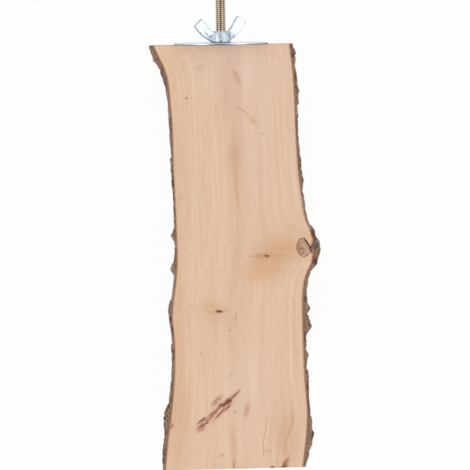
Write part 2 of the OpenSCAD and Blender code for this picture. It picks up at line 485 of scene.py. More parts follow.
def build_groups():
    """The effects that more than one finish uses."""
    # Soft spot on a face: an ellipse at a place, turned, with a soft rim. It is all plain numbers,
    # because dozens of them on one material would overfill the renderer's memory as vectors.
    sheet, given, out = shader_group(
        "Soft Mark",
        {**dict.fromkeys(("X", "Y", "Z", "Middle X", "Middle Y", "Middle Z"), 0.0),
         "Long": 2.0, "Wide": 1.0, "Turn": 0.0, "Softness": 0.5},
        ("Mask", "Reach"))
    x, y, z = [sheet.minus(given[axis], given["Middle " + axis]) for axis in "XYZ"]
    cosine, sine = sheet.math("COSINE", given["Turn"]), sheet.math("SINE", given["Turn"])
    along = sheet.math("MULTIPLY_ADD", x, cosine, sheet.times(y, sine))
    aside = sheet.minus(sheet.times(y, cosine), sheet.times(x, sine))
    along = sheet.math("DIVIDE", along, given["Long"])
    aside = sheet.math("DIVIDE", aside, given["Wide"])
    below = sheet.math("DIVIDE", z, 5.0)
    square = sheet.math("MULTIPLY_ADD", along, along, sheet.times(aside, aside))
    reach = sheet.math("SQRT", sheet.math("MULTIPLY_ADD", below, below, square))
    sheet.feed(out["Reach"], reach)
    sheet.feed(out["Mask"], sheet.span(reach, sheet.plus(given["Softness"], 1.0),
                                       sheet.minus(1.0, given["Softness"])))

    # Wood fibres: long thin streaks and short pores
    sheet, given, out = shader_group(
        "Wood Fibre", {"Place": None, "Across": 1.0, "Along": 0.04}, ("Streak", "Pores", "Height"))
    stretch = sheet.join(given["Across"], given["Along"], given["Across"])
    streak = sheet.noise(sheet.vector("MULTIPLY", given["Place"], stretch), 1.5, 4, 0.62)
    fine = sheet.noise(sheet.vector("MULTIPLY", given["Place"], stretch), 6.0, 2, 0.6)
    pores = sheet.span(fine, 0.6, 0.72)
    sheet.feed(out["Streak"], streak)
    sheet.feed(out["Pores"], pores)
    sheet.feed(out["Height"], sheet.minus(streak, sheet.times(pores, 0.5)))

    # Plated metal: cloudy patches, fine grain and scratches
    sheet, given, out = shader_group(
        "Plating", {"Place": None, "Patch Size": 3.0}, ("Patches", "Grain", "Scratches", "Height"))
    patches = sheet.noise(sheet.vector("DIVIDE", given["Place"],
                                       sheet.join(*[given["Patch Size"]] * 3)), 1.0, 4, 0.55, 0.4)
    grain = sheet.noise(given["Place"], 4.0, 3, 0.6)
    lines = sheet.vector("MULTIPLY", given["Place"], (0.35, 3.0, 0.35))
    turned = sheet.node("VectorRotate", {"Vector": lines, "Angle": 0.7}, rotation_type="Z_AXIS").outputs[0]
    first = sheet.noise(sheet.vector("MULTIPLY", turned, (1, 5, 5)), 1.0, 1, 0.5)
    second = sheet.noise(sheet.scaled(given["Place"], 5.5, 0.5, 0.5), 1.0, 1, 0.5)
    scratches = sheet.math("MAXIMUM", sheet.span(first, 0.66, 0.7), sheet.span(second, 0.68, 0.72))
    sheet.feed(out["Patches"], patches)
    sheet.feed(out["Grain"], grain)
    sheet.feed(out["Scratches"], scratches)
    sheet.feed(out["Height"], sheet.minus(sheet.math("MULTIPLY_ADD", patches, 2.0, grain),
                                          sheet.times(scratches, 0.5)))


# ---------------------------------------------------------------- settings

def length(name, text, default_mm, low=0.0, high=100.0):
    return FloatProperty(name=name, description=text, default=default_mm * MM, min=low * MM,
                         max=high * MM, unit="LENGTH", precision=4)


def colour(name, text, red, green, blue):
    return FloatVectorProperty(name=name, description=text, subtype="COLOR", size=4, min=0, max=1,
                               default=tone(red, green, blue))


def factor(name, text, default, high=1.0):
    return FloatProperty(name=name, description=text, default=default, min=0, max=high,
                         subtype="FACTOR" if high == 1.0 else "NONE")


class PerchBoardLooks(bpy.types.PropertyGroup):
    saw_bevel: length("Eased End", "Wear on the rims of the two sawn ends", 0.3)
    ring_pitch: length("Ring Spacing", "Thickness of one year's growth", 2.5)
    pith_depth: length("Pith Depth", "Depth of the tree's middle under the board's middle", 36)
    light: colour("Light Wood", "Palest stripes of the planed face", 233, 203, 177)
    middle: colour("Middle Wood", "Usual colour of the planed face", 229, 196, 167)
    dark: colour("Dark Wood", "Darkest stripes of the planed face", 224, 189, 159)
    pink: colour("Pink Wood", "Rosy stripes", 229, 192, 168)
    grain_line: colour("Grain Line", "Late wood at the end of a year's growth", 200, 156, 124)
    knot_dark: colour("Small Knots", "Eyes of the two small knots", 92, 48, 32)
    ring_share: factor("Grain Strength", "How much the grain lines show", 0.24)


class PerchBarkLooks(bpy.types.PropertyGroup):
    plate_length: length("Plate Length", "Length of the bark's plates along the board", 8.5)
    plate_width: length("Plate Width", "Width of the bark's plates", 4.6)
    relief: length("Relief", "Height of the plates above the cracks", 0.7)
    rim: colour("Rim", "Tan layer where the bark meets the wood", 206, 166, 138)
    inner: colour("Inner Bark", "Light brown layer next to it", 162, 122, 96)
    middle: colour("Cork", "Brown middle layer", 134, 100, 78)
    outer: colour("Weathered Bark", "Grey-brown outside", 150, 126, 108)
    pale: colour("Pale Flakes", "Light grey flakes", 200, 184, 170)
    # Used both for dark specks and as painted shade in the cracks
    dark: colour("Cracks", "Bottom of the cracks", 66, 42, 32)


class PerchKnotLooks(bpy.types.PropertyGroup):
    face: colour("Knot Face", "Sanded face of the dead knot", 206, 168, 140)
    blush: colour("Knot Mottle", "Pinkish-brown mottle of the face", 174, 130, 108)
    ring: colour("Knot Rings", "Dark rings and rim", 104, 72, 54)


class PerchMetalLooks(bpy.types.PropertyGroup):
    zinc: colour("Bright Zinc", "Colour of the bright plating", 210, 216, 222)
    zinc_dull: colour("Dull Zinc", "Clouded places of the bright plating", 182, 190, 202)
    # Painted shade: the grey laid along bulging edges, on the washer's rim by the board, under the nut and
    # where its wings meet the hub
    zinc_painted_shade: colour("Zinc Edges", "Worn grey along the edges", 84, 92, 102)
    brass: colour("Yellow Zinc", "Colour of the stud's plating", 206, 181, 152)
    # Painted shade for the thread's roots and the stud's two sides
    brass_painted_shade: colour("Thread Roots", "Darkened bottom of the thread", 74, 60, 46)
    remesh: length("Forging Fineness", "Size of the nut's mesh cells", 0.24, 0.1, 1)


class PerchStageLooks(bpy.types.PropertyGroup):
    camera_height: length("Camera Height", "Height of the camera above the board", 4000, 500, 10000)
    camera_roll: FloatProperty(name="Camera Roll", description="How far the perch looks turned",
                               default=math.radians(0.8), subtype="ANGLE", unit="ROTATION")
    field: length("Field", "Width of the picture at the board", 298.6, 100, 1000)
    lamp_power: FloatProperty(name="Lamp Power", description="Power of each of the two soft lamps",
                              default=6.0, min=0, unit="POWER")
    sky: factor("Sky", "Strength of the light from all round", 0.66, 2.0)
    ceiling: factor("Ceiling", "How bright metal shows the room straight overhead", 0.54)
    backdrop: factor("Backdrop", "How far the floor shows as plain white", 0.95)


# ---------------------------------------------------------------- stage

class PERCH_OT_stage(bpy.types.Operator):
    """Floor, soft light and the camera above the board"""
    bl_idname = "perch.stage"
    bl_label = "Stage"

    def execute(self, context):
        looks = context.scene.perch_stage
        scene = context.scene
        scene.view_settings.view_transform = "Standard"
        floor_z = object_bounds()[0].z - 0.5 * MM
        deselect()
        bpy.ops.mesh.primitive_grid_add(x_subdivisions=8, y_subdivisions=8, size=6.0,
                                        location=(0, 0, floor_z))
        floor = context.object
        floor.name = "floor"
        bpy.ops.object.transform_apply(location=True)
        material, sheet = new_material("white_floor")
        _, seen = backdrop_rays(sheet)
        plain = sheet.node("BsdfDiffuse", {"Color": (0.9, 0.9, 0.9, 1)}).outputs[0]
        glow = sheet.node("Emission", {"Color": (1, 1, 1, 1), "Strength": 1.0}).outputs[0]
        share = sheet.times(seen, looks.backdrop)
        sheet.node("OutputMaterial", [sheet.node("MixShader", [share, plain, glow]).outputs[0]])
        floor.data.materials.append(material)
        floor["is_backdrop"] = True

        world = bpy.data.worlds.new("soft_sky")
        scene.world = world
        world.use_nodes = True
        world.node_tree.nodes.clear()
        sheet = Sheet(world.node_tree)
        camera_ray, seen = backdrop_rays(sheet)
        _, _, up = sheet.split(sheet.node("TexCoord").outputs["Generated"])
        ceiling = sheet.span(up, 0.9, 0.96, 1.0, looks.ceiling)
        strength = sheet.span(seen, 0, 1, looks.sky, ceiling, smooth=False)
        strength = sheet.math("MAXIMUM", strength, camera_ray)
        back = sheet.node("Background", {"Color": (1, 1, 1, 1), "Strength": strength}).outputs[0]
        sheet.node("OutputWorld", [back])

        middle = Vector(PICTURE_MIDDLE) * MM
        for side, name in ((-1, "left_lamp"), (1, "right_lamp")):
            out, along, high = LAMP_PLACE
            bpy.ops.object.light_add(type="AREA", location=(out * side, along, high))
            lamp = context.object
            lamp.name = name
            lamp.data.shape = "DISK"
            lamp.data.size = LAMP_SIZE
            lamp.data.energy = looks.lamp_power
            lamp.rotation_euler = (middle - lamp.location).to_track_quat("-Z", "Y").to_euler()

        bpy.ops.object.camera_add(location=(middle.x, CAMERA_Y * MM, looks.camera_height))
        camera = context.object
        camera.name = "camera"
        away = middle - camera.location
        up = Vector((math.sin(looks.camera_roll), math.cos(looks.camera_roll), 0))
        back = -away.normalized()
        right = up.cross(back).normalized()
        camera.rotation_euler = Matrix((right, back.cross(right), back)).transposed().to_euler()
        camera.data.sensor_width = SENSOR_WIDTH
        camera.data.lens = SENSOR_WIDTH * away.length / looks.field
        camera.data.clip_end = 20
        scene.camera = camera
        deselect()
        return {"FINISHED"}


# ---------------------------------------------------------------- board

# Place along the board and how far each live edge stands out there, in millimetres,
# which the grain follows
LEFT_FLOW = [
    (0, 11.6), (0.03, 7.7), (0.055, 4.5), (0.09, 2.3), (0.14, 1.2), (0.3, -0.3), (0.4, -1.2), (0.5, -1.8),
    (0.56, -0.6), (0.64, 1.9), (0.7, 0.6), (0.78, 1), (0.86, 3), (0.93, 5.7), (1, 7.7),
]
RIGHT_FLOW = [
    (0, -5.7), (0.06, -3.8), (0.2, -2.3), (0.3, -0.9), (0.37, 1.2), (0.41, 2.9), (0.455, 7.4), (0.51, 7.2),
    (0.55, 2.5), (0.6, 0.6), (0.7, 0.7), (0.78, 1.3), (0.86, 2.7), (0.92, 2.1), (1, -0.7),
]
FLOW_REACH = 15.0

# Folded grain near the far end: half width, strength, colour, places from the near end to the far one
GRAIN_FOLDS = [
    (0.75, 0.65, (206, 146, 108),
     [(40.6, -227.3), (41.5, -232.1), (42, -236.4), (40.8, -242.7), (39.4, -247.5), (36.8, -250.6),
      (36.4, -253.3), (36.1, -258.6), (35.4, -264.3)]),
    (0.45, 0.65, (182, 130, 98),
     [(43.6, -232.1), (43, -238.5), (41.9, -244.9), (38.6, -250.2), (37.9, -253.3), (37.9, -258.6),
      (37.6, -261.8)]),
    (0.45, 0.45, (198, 148, 114),
     [(38.9, -233.2), (38.2, -240.6), (36, -248), (34.8, -251.1), (35.1, -258.6)]),
    (0.45, 0.5, (194, 146, 116),
     [(29.5, -221.4), (30.9, -232), (28.7, -236.2), (28.5, -245.7), (27.4, -252.1), (27.4, -257.4)]),
    (0.42, 0.75, (164, 116, 88),
     [(27.1, -232.5), (25.4, -240.4), (24.6, -247.8), (23.4, -253.1), (23.6, -258.4), (23, -264.8)]),
]

# Streaky grain beside the knots: place, half length, half width, turn, colour, strength
KNOT_STREAKS = [
    (33, -133, 13, 5.5, 0.12, (206, 160, 116), 0.75), (27, -140, 11, 4.0, -0.1, (208, 162, 120), 0.6),
    (27, -134.6, 8, 1.5, 0.02, (168, 116, 82), 0.9), (-4.4, -169.2, 5.4, 1.6, 0.04, (196, 138, 100), 0.9),
    (-7.6, -165, 6.5, 3.2, -0.25, (214, 172, 122), 0.6),
]

# Streaks of the reddish stain: place, half length, half width, turn, colour, strength
STAIN_STREAKS = [
    (-3.5, -232, 13, 3.8, 0.74, (216, 160, 142), 0.6), (-5.7, -226, 5, 1.5, 0.75, (172, 118, 94), 0.8),
    (-16.2, -243.4, 3.6, 2.4, 0.9, (192, 124, 104), 0.85), (4.8, -223.8, 6.8, 0.8, 0.79, (150, 90, 72), 1.0),
    (1.6, -226.8, 4.0, 1.6, 0.7, (128, 68, 52), 1.0), (-2.2, -229.2, 4.0, 1.2, 0.62, (112, 56, 42), 1.0),
    (0.9, -230.9, 2.7, 0.8, 0.8, (132, 70, 54), 1.0), (-8.1, -234.6, 3.8, 1.2, 0.72, (160, 98, 80), 0.95),
    (-4.3, -235, 4.8, 0.55, 0.86, (116, 62, 48), 1.0), (-11.4, -238.4, 3.2, 1.1, 0.7, (184, 126, 106), 0.85),
    (-15.6, -239, 3.8, 1.0, 0.61, (130, 80, 62), 1.0), (-13.6, -241, 3.4, 0.6, 0.66, (140, 88, 72), 1.0),
    (-15.7, -242.6, 2.8, 0.9, 1.19, (152, 94, 76), 0.95),
]

# Marks on the planed face: place, half length, half width, turn, softness, colour, strength
FACE_MARKS = [
    # Broad tan, rosy and pale bands
    (35, -129, 15, 12, 0.1, 0.95, (216, 172, 136), 0.4),
    (25.6, -146.5, 12, 7.5, 0.1, 0.95, (220, 170, 132), 0.4),
    (-31.5, -157, 15, 6, 1.57, 0.95, (218, 174, 138), 0.4),
    (8.5, -188, 26, 5.5, 1.57, 0.95, (216, 176, 144), 0.4),
    (-8.5, -182, 20, 5, 1.57, 0.95, (218, 178, 146), 0.35),
    (9.6, -74, 16, 5, 1.57, 0.95, (216, 176, 142), 0.35),
    (-23.5, -94, 36, 3.6, 1.57, 0.95, (218, 180, 148), 0.35),
    (23, -57.8, 40, 15, 1.57, 0.95, (226, 195, 176), 0.45),
    (27.3, -204.3, 42, 14, 1.57, 0.95, (229, 194, 173), 0.45),
    (12.1, -16.2, 26, 14, 0, 0.95, (231, 204, 186), 0.45),
    (-29.5, -110, 85, 3.6, 1.57, 0.95, (218, 178, 144), 0.4),
    (-30.4, -234, 34, 5.5, 1.55, 0.95, (217, 172, 136), 0.6),
    (36, -129.3, 11, 6, 0.1, 0.95, (214, 168, 128), 0.5),
    (24.4, -143.8, 10, 5, 0.2, 0.95, (218, 170, 132), 0.5),
    (-7.9, -170.5, 9, 5, -0.3, 0.95, (214, 174, 134), 0.45),
    (38.2, -251, 18, 7, 1.57, 0.95, (212, 168, 134), 0.5),
    (9.4, -217, 22, 13, 1.57, 0.95, (231, 203, 184), 0.45),
    (6.8, -255, 13, 11, 0, 0.95, (233, 200, 180), 0.45),
    # Small marks, from the clamped end on
    (7.6, -70, 8, 3.4, 1.6, 0.95, (208, 166, 136), 0.6),
    (10, -21.5, 4.2, 1.9, -1.2, 0.8, (196, 150, 118), 0.6), (8.3, -18, 2, 1, -1.1, 0.8, (170, 126, 96), 0.45),
    (4.4, -26, 22, 5.5, 1.6, 0.9, (219, 176, 158), 0.5),
    (13.2, -41.9, 4.2, 0.5, -0.56, 0.8, (170, 140, 92), 0.6),
    (19.7, -48.5, 2.8, 1.7, -0.8, 0.7, (196, 168, 112), 0.55),
    (-22.5, -33.7, 0.9, 0.6, 0, 0.8, (150, 120, 84), 0.7),
    (-3.8, -41.3, 0.9, 0.5, 1.4, 0.8, (186, 138, 106), 0.6),
    (26, -56.8, 1, 0.5, 1.2, 0.8, (170, 124, 92), 0.6),
    (8.2, -86, 15, 1.3, 1.62, 0.95, (214, 166, 128), 0.55),
    (9.6, -99, 5, 0.8, 1.6, 0.95, (210, 156, 120), 0.4),
    (45.2, -83, 24, 1.3, 1.55, 0.8, (226, 196, 182), 0.6),
    (29.3, -100.7, 0.7, 0.5, 0, 0.8, (176, 130, 100), 0.6),
    (-27.2, -97, 2, 1, 1.4, 0.9, (200, 158, 124), 0.4),
    (-12.8, -14.4, 3, 1.6, 0.4, 0.9, (196, 160, 130), 0.35),
    # Round the middle
    (44, -117.3, 4, 1.8, -0.5, 0.9, (214, 180, 124), 0.45),
    (-31, -186, 9, 1.6, 1.55, 0.9, (226, 172, 124), 0.5),
    (3.1, -181.6, 0.7, 0.45, 0.3, 0.8, (160, 100, 80), 0.7),
    (-20.9, -165.7, 0.5, 0.45, 0, 0.8, (140, 100, 74), 0.7),
    (7, -173.4, 3, 0.5, 1.35, 0.9, (190, 140, 116), 0.5), (-15, -196, 0.6, 0.45, 0, 0.8, (140, 100, 76), 0.6),
    # Towards the far end
    (3.5, -209.9, 2.4, 1.2, 0.6, 0.9, (206, 168, 148), 0.4),
    (13.2, -232.6, 4.6, 1.5, 1.35, 0.9, (184, 126, 104), 0.5),
    (5.5, -233.7, 1.3, 0.9, -0.4, 0.8, (174, 136, 120), 0.5),
    (-21.7, -228, 0.6, 0.5, 0, 0.8, (140, 106, 80), 0.6),
    (-35.6, -242.6, 2.2, 1.1, 0.6, 0.8, (152, 92, 66), 0.85),
    (4.3, -254.5, 12, 1.9, 1.6, 0.9, (212, 156, 130), 0.5),
    (-2.9, -261.1, 1.4, 1, 0.2, 0.8, (180, 152, 136), 0.55),
    (26.3, -258.9, 2.6, 1.2, 0.1, 0.9, (208, 160, 112), 0.35),
    (36.9, -267, 4.2, 1.3, 0.95, 0.8, (166, 92, 74), 0.8),
    (35.9, -269.3, 2.6, 1.1, 0.4, 0.8, (78, 42, 32), 0.9),
    (29.2, -269.4, 1.6, 0.8, 0.2, 0.8, (96, 60, 48), 0.85),
    (32.1, -266.8, 1, 0.8, 0.8, 0.8, (190, 136, 116), 0.5),
    # Beside the big knot, and round the drying crack
    (54.7, -123.4, 3.4, 1.9, 1.9, 0.6, (224, 186, 128), 0.6),
    (52.4, -140.3, 3.4, 1.6, 0.9, 0.8, (228, 208, 168), 0.5),
    (4.4, -267.4, 3.2, 1, 1.5, 0.9, (196, 150, 130), 0.4),
]


def edge_flow(sheet, place_share, table):
    points = [(at, 0.5 + out / (2 * FLOW_REACH)) for at, out in table]
    value = sheet.curve(place_share, points)
    return sheet.span(value, 0, 1, -FLOW_REACH, FLOW_REACH, smooth=False)


def fold_line(sheet, x, y, wide, places):
    """Soft line across the face through given places, by its half width."""
    (_, start), (_, end) = places[0], places[-1]
    middle = sum(px for px, _ in places) / len(places)
    share = sheet.math("DIVIDE", sheet.minus(y, start), end - start)
    points = [((py - start) / (end - start), 0.5 + (px - middle) / (2 * FLOW_REACH)) for px, py in places]
    bend = sheet.span(sheet.curve(share, points), 0, 1, -FLOW_REACH, FLOW_REACH, smooth=False)
    off = sheet.math("ABSOLUTE", sheet.minus(sheet.minus(x, middle), bend))
    ends = sheet.times(sheet.span(share, 0, 0.3), sheet.span(share, 1, 0.85))
    return sheet.times(sheet.span(off, wide * 1.3, 0), ends)


def wood_material(looks):
    material, sheet = new_material("sawn_wood")
    place = sheet.place_mm()
    x, y, z = sheet.split(place)
    share = sheet.math("DIVIDE", y, -BOARD_LENGTH)

    # The grain runs with both live edges and bends over the kink near the far end
    left = sheet.times(edge_flow(sheet, share, LEFT_FLOW), sheet.span(x, 2, -34))
    right = sheet.times(edge_flow(sheet, share, RIGHT_FLOW), sheet.span(x, 14, 50))
    kink = sheet.times(sheet.span(y, -242, -252, 0, 3.5), sheet.span(x, 10, 34))
    across = sheet.plus(sheet.plus(sheet.plus(x, left), kink), sheet.times(right, -1))
    waver = sheet.noise(sheet.join(sheet.times(across, 0.03), sheet.times(y, 0.012), 0.0), 1.0, 3, 0.5)
    across = sheet.math("MULTIPLY_ADD", waver, 7.0, across)
    grain = sheet.join(across, y, z)

    # Growth rings round the pith, under the board
    deep = sheet.plus(z, looks.pith_depth / MM)
    ring_r = sheet.vector("LENGTH", sheet.join(sheet.minus(across, PITH_X), 0.0, deep))
    turns = sheet.times(ring_r, MM / looks.ring_pitch)
    wave = sheet.math("COSINE", sheet.times(turns, 2 * math.pi))
    line = sheet.math("POWER", sheet.span(wave, -1, 1, 0, 1, smooth=False), 5.0)
    band = sheet.span(sheet.noise(sheet.scaled(grain, 0.06, 0.009, 0.05), 1.0, 2, 0.6), 0.46, 0.64, 0.1, 1)
    line = sheet.times(line, band)

    # Stripes, fibres and pores
    stripe = sheet.noise(sheet.scaled(grain, 0.45, 0.018, 0.2), 1.0, 4, 0.62)
    base = sheet.ramp(stripe, (0.34, looks.dark), (0.5, looks.middle), (0.66, looks.light))
    rosy = sheet.noise(sheet.scaled(sheet.vector("ADD", grain, (40, 0, 9)), 0.11, 0.03, 0.1), 1.0, 3, 0.6)
    base = sheet.blend(sheet.span(rosy, 0.45, 0.68, 0, 0.8), base, looks.pink)
    mottle = sheet.span(sheet.noise(sheet.scaled(place, 0.42, 0.3, 0.4), 1.0, 3, 0.6), 0.25, 0.75, 0.975,
                        1.02, smooth=False)
    base = sheet.shade(base, mottle)
    corner = sheet.times(sheet.span(x, -18, -42), sheet.span(y, -50, -4))
    base = sheet.tint(base, corner, 0.45, tone(232, 196, 156))
    fibre = sheet.use("Wood Fibre", place=grain, across=1.0, along=0.045)
    base = sheet.tint(base, line, looks.ring_share, looks.grain_line)
    shade = sheet.span(fibre["Streak"], 0.25, 0.75, 0.955, 1.035, smooth=False)
    base = sheet.shade(base, shade)
    base = sheet.tint(base, fibre["Pores"], 0.24, tone(176, 130, 98))

    # Grain that closes round the big knot, and streaks that run across to the small one
    ragged = sheet.noise(place, 0.5, 3, 0.6, out="Color")
    shift = sheet.vector("MULTIPLY", sheet.vector("SUBTRACT", ragged, (0.5, 0.5, 0.5)), (2.6, 2.6, 0))
    rough_place = sheet.vector("ADD", place, shift)
    rough_spot = sheet.split(rough_place)
    knot_x, knot_y = KNOT_MIDDLE
    swirl = sheet.mark(rough_spot, (knot_x - 1, knot_y, BOARD_TOP), 5.2, 6.8, 0.2, out="Reach")
    rings = sheet.math("POWER", sheet.span(sheet.math("SINE", sheet.times(swirl, 22.0)), -1, 1), 3.0)
    near = sheet.span(swirl, 1.9, 1.0)
    base = sheet.tint(base, sheet.times(rings, near), 0.2, tone(186, 142, 110))

    cross = sheet.noise(sheet.scaled(rough_place, 0.1, 1.1, 0.5), 1.0, 3, 0.6, 0.6)
    for px, py, long, wide, turn, hue, strength in KNOT_STREAKS:
        mask = sheet.mark(rough_spot, (px, py, BOARD_TOP), long, wide, turn, 0.75)
        streaky = sheet.times(mask, sheet.span(cross, 0.38, 0.6, 0.25, strength))
        base = sheet.blend(streaky, base, tone(*hue))

    for wide, strength, hue, places in GRAIN_FOLDS:
        line_mask = sheet.times(fold_line(sheet, x, y, wide, places), strength)
        base = sheet.blend(line_mask, base, tone(*hue))

    for px, py, long, wide, turn, soft, hue, strength in FACE_MARKS:
        base = sheet.dab(base, rough_spot, (px, py, BOARD_TOP), long, wide, turn, soft, strength, tone(*hue))

    # Streaky reddish stain
    stain_place = sheet.node("VectorRotate", {"Vector": place, "Center": (-4, -232.6, 9), "Angle": -0.755},
                             rotation_type="Z_AXIS").outputs[0]
    streaks = sheet.noise(sheet.scaled(stain_place, 0.34, 2.1, 0.5), 1.0, 3, 0.7, 0.5)
    patches = sheet.span(streaks, 0.36, 0.52, 0.2, 1)
    for px, py, long, wide, turn, hue, strength in STAIN_STREAKS:
        mask = sheet.mark(rough_spot, (px, py, BOARD_TOP), long, wide, turn, 0.5)
        amount = sheet.times(sheet.times(mask, patches), strength)
        base = sheet.blend(amount, base, tone(*hue))

    for px, py, long, wide, turn in ((27.4, -134.6, 1.7, 0.62, 0.05), (-3.4, -169.4, 2.2, 0.78, 0.03)):
        base = sheet.dab(base, rough_spot, (px, py, BOARD_TOP), long, wide, turn, 0.55, 0.95, looks.knot_dark)

    # A notch of bark comes in to meet the knot's crack
    grit = sheet.noise(place, 1.1, 4, 0.72)
    bark_spot = sheet.split(sheet.vector("MULTIPLY_ADD", sheet.vector("SUBTRACT", ragged, (0.5, 0.5, 0.5)),
                                         (1.6, 1.6, 0), place))
    for px, py, long, wide, turn, hue in ((57.9, -129.9, 5.8, 2.5, 1.6, (124, 108, 96)),
                                          (57.6, -133.6, 2.4, 1.7, 1.9, (160, 114, 80)),
                                          (56.6, -127.6, 1.6, 0.9, 0.9, (72, 58, 50))):
        mask = sheet.mark(bark_spot, (px, py, BOARD_TOP), long, wide, turn, 0.25)
        gritty = sheet.blend(sheet.span(grit, 0.4, 0.6), lit(hue, 0.72), lit(hue, 1.16))
        base = sheet.blend(mask, base, gritty)

    base = sheet.crack_line(base, (x, y, z))

    # Sawn ends: darker, with the marks of the saw's teeth
    near_end = sheet.math("MAXIMUM", sheet.span(y, -0.5, -0.15), sheet.span(y, FAR_CUT + 0.6, FAR_CUT))
    flat = sheet.math("GREATER_THAN", BOARD_TOP - 0.1, sheet.math("ABSOLUTE", z))
    sawn = sheet.times(near_end, flat)
    teeth = sheet.math("SINE", sheet.math("MULTIPLY_ADD", sheet.noise(place, 0.15, 2, 0.5), 9.0,
                                          sheet.times(x, 5.2)))
    late = sheet.math("POWER", sheet.span(wave, -1, 1, 0, 1, smooth=False), 2.5)
    ray_turn = sheet.math("ARCTAN2", sheet.minus(across, PITH_X), deep)
    rays = sheet.noise(sheet.join(sheet.times(ray_turn, 70.0), sheet.times(ring_r, 0.12), 0.0), 1.0, 2, 0.6)
    cloudy = sheet.noise(place, 0.12, 3, 0.6)
    cut = sheet.blend(sheet.span(cloudy, 0.35, 0.65), tone(192, 154, 120), tone(206, 170, 136))
    cut = sheet.tint(cut, late, 0.5, tone(146, 102, 70))
    cut = sheet.blend(sheet.span(rays, 0.55, 0.72, 0, 0.3), cut, tone(222, 190, 158))
    cut = sheet.blend(sheet.span(sheet.noise(place, 2.4, 2, 0.6), 0.55, 0.7, 0, 0.3), cut, tone(128, 90, 64))
    base = sheet.tint(base, sawn, 0.9, cut)

    # Painted shade on the walls of the knot's socket and of the drying crack
    socket = sheet.mark((x, y, z), (knot_x, knot_y, 0), 10, 12.5, out="Reach")
    crack = sheet.mark((x, y, z), (CRACK_X, -268, 0), 2.2, 5, out="Reach")
    below = sheet.times(sheet.math("LESS_THAN", sheet.math("ABSOLUTE", z), BOARD_TOP - 0.05),
                        sheet.math("MAXIMUM", sheet.math("LESS_THAN", socket, 1.6),
                                   sheet.times(sheet.math("LESS_THAN", crack, 1.6),
                                               sheet.math("GREATER_THAN", y, FAR_CUT - 0.1))))
    base = sheet.tint(base, below, 0.9, tone(96, 66, 46))

    height = sheet.math("MULTIPLY_ADD", fibre["Height"], 0.6, sheet.times(line, 0.5))
    height = sheet.math("MULTIPLY_ADD", sheet.times(teeth, sawn), 0.8, height)
    rough = sheet.span(fibre["Streak"], 0.2, 0.8, 0.66, 0.8, smooth=False)
    sheet.surface(base, rough, sheet.bump(height, 0.25, 0.15), **{"Specular IOR Level": 0.25})
    return material


class PERCH_OT_board(bpy.types.Operator):
    """Sawn board with eased ends and its drying crack"""
    bl_idname = "perch.board"
    bl_label = "Board"

    def execute(self, context):
        looks = context.scene.perch_board
        piece = copy_of("board", "board_sawn")

        # Drying crack in the far end: a thin wedge, open at the saw cut
        deselect()
        bpy.ops.mesh.primitive_cube_add(size=1.0)
        wedge = context.object
        edit(wedge)
        pick(wedge, "FACE", lambda f: f.normal.y < -0.5)
        bpy.ops.transform.resize(value=(0.16, 1, 1), center_override=(0, -0.5, 0))
        pick(wedge, "FACE", lambda f: f.normal.z < -0.5)
        bpy.ops.transform.resize(value=(0.1, 1, 1), center_override=(0, 0, -0.5))
        bpy.ops.mesh.select_all(action="SELECT")
        bpy.ops.transform.resize(value=(0.9 * MM, 9 * MM, 12 * MM), center_override=(0, 0, 0))
        end_edit()
        wedge.rotation_euler.z = math.radians(186)
        wedge.location = (CRACK_X * MM, -269.4 * MM, 4 * MM)
        join_solid(piece, wedge, "DIFFERENCE")

        edit(piece)

        def on_saw_rim(edge):
            if len(edge.link_faces) != 2 or edge.calc_face_angle(0) < math.radians(50):
                return False
            return any(abs(face.normal.y) > 0.99 for face in edge.link_faces) and \
                max(abs(v.co.x) for v in edge.verts) > 5 * MM and \
                all(abs(v.co.z) > 8.9 * MM for v in edge.verts)

        pick(piece, "EDGE", on_saw_rim)
        bpy.ops.mesh.bevel(offset=looks.saw_bevel, segments=2, affect="EDGES")
        end_edit()
        settle(piece, "perch", ["board"], wood_material(looks), 25)
        return {"FINISHED"}


# ---------------------------------------------------------------- bark

# Mesh of a strip: rows along the board, steps down its outside, steps across each sawn face
BARK_ROWS = 760
BARK_LEVELS = 44
BARK_LIP = 4
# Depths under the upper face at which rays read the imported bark
READ_DEPTHS = (0, 2.5, 6, 9, 12, 15.5, 18)

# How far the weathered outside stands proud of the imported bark: place along the board and
# height, in millimetres
LEFT_SKIN = [
    (0, 0), (-3, -0.1), (-8, -0.8), (-12, 0.1), (-14, 0.2), (-16, -0.4), (-18, 0.5), (-22, 0.1), (-27, -0.3),
    (-35, 0), (-40, 0.2), (-46, 0.1), (-52, -0.4), (-58, -0.5), (-64, -0.1), (-72, 0.1), (-77.5, 0.3),
    (-79, 1), (-81, 0.4), (-90, 0.2), (-105, 0.1), (-110, 0.3), (-113, -0.1), (-118, -0.6), (-119.6, -0.5),
    (-121, 0.6), (-123, 0), (-125, -0.8), (-129, -0.3), (-134, -0.8), (-138, -1.4), (-139.6, -0.4),
    (-142, 0.2), (-144, 0), (-146, -0.7), (-150, 0.1), (-158, 0.5), (-163, 0.2), (-165.5, 0.7), (-169, 0),
    (-176, 0.3), (-181, 0.4), (-185, 0.1), (-192, -0.3), (-194, 0.1), (-200, -0.15), (-208, 0.2),
    (-215, -0.1), (-222, -0.5), (-227.5, -1.3), (-230, -0.1), (-233, 0.3), (-235.8, -0.3), (-237, 0.6),
    (-239, -0.4), (-245, -0.9), (-249, -1.3), (-251, -0.4), (-254, 0.1), (-260, 0.8), (-266, 0.6),
    (-270, 0.4),
]
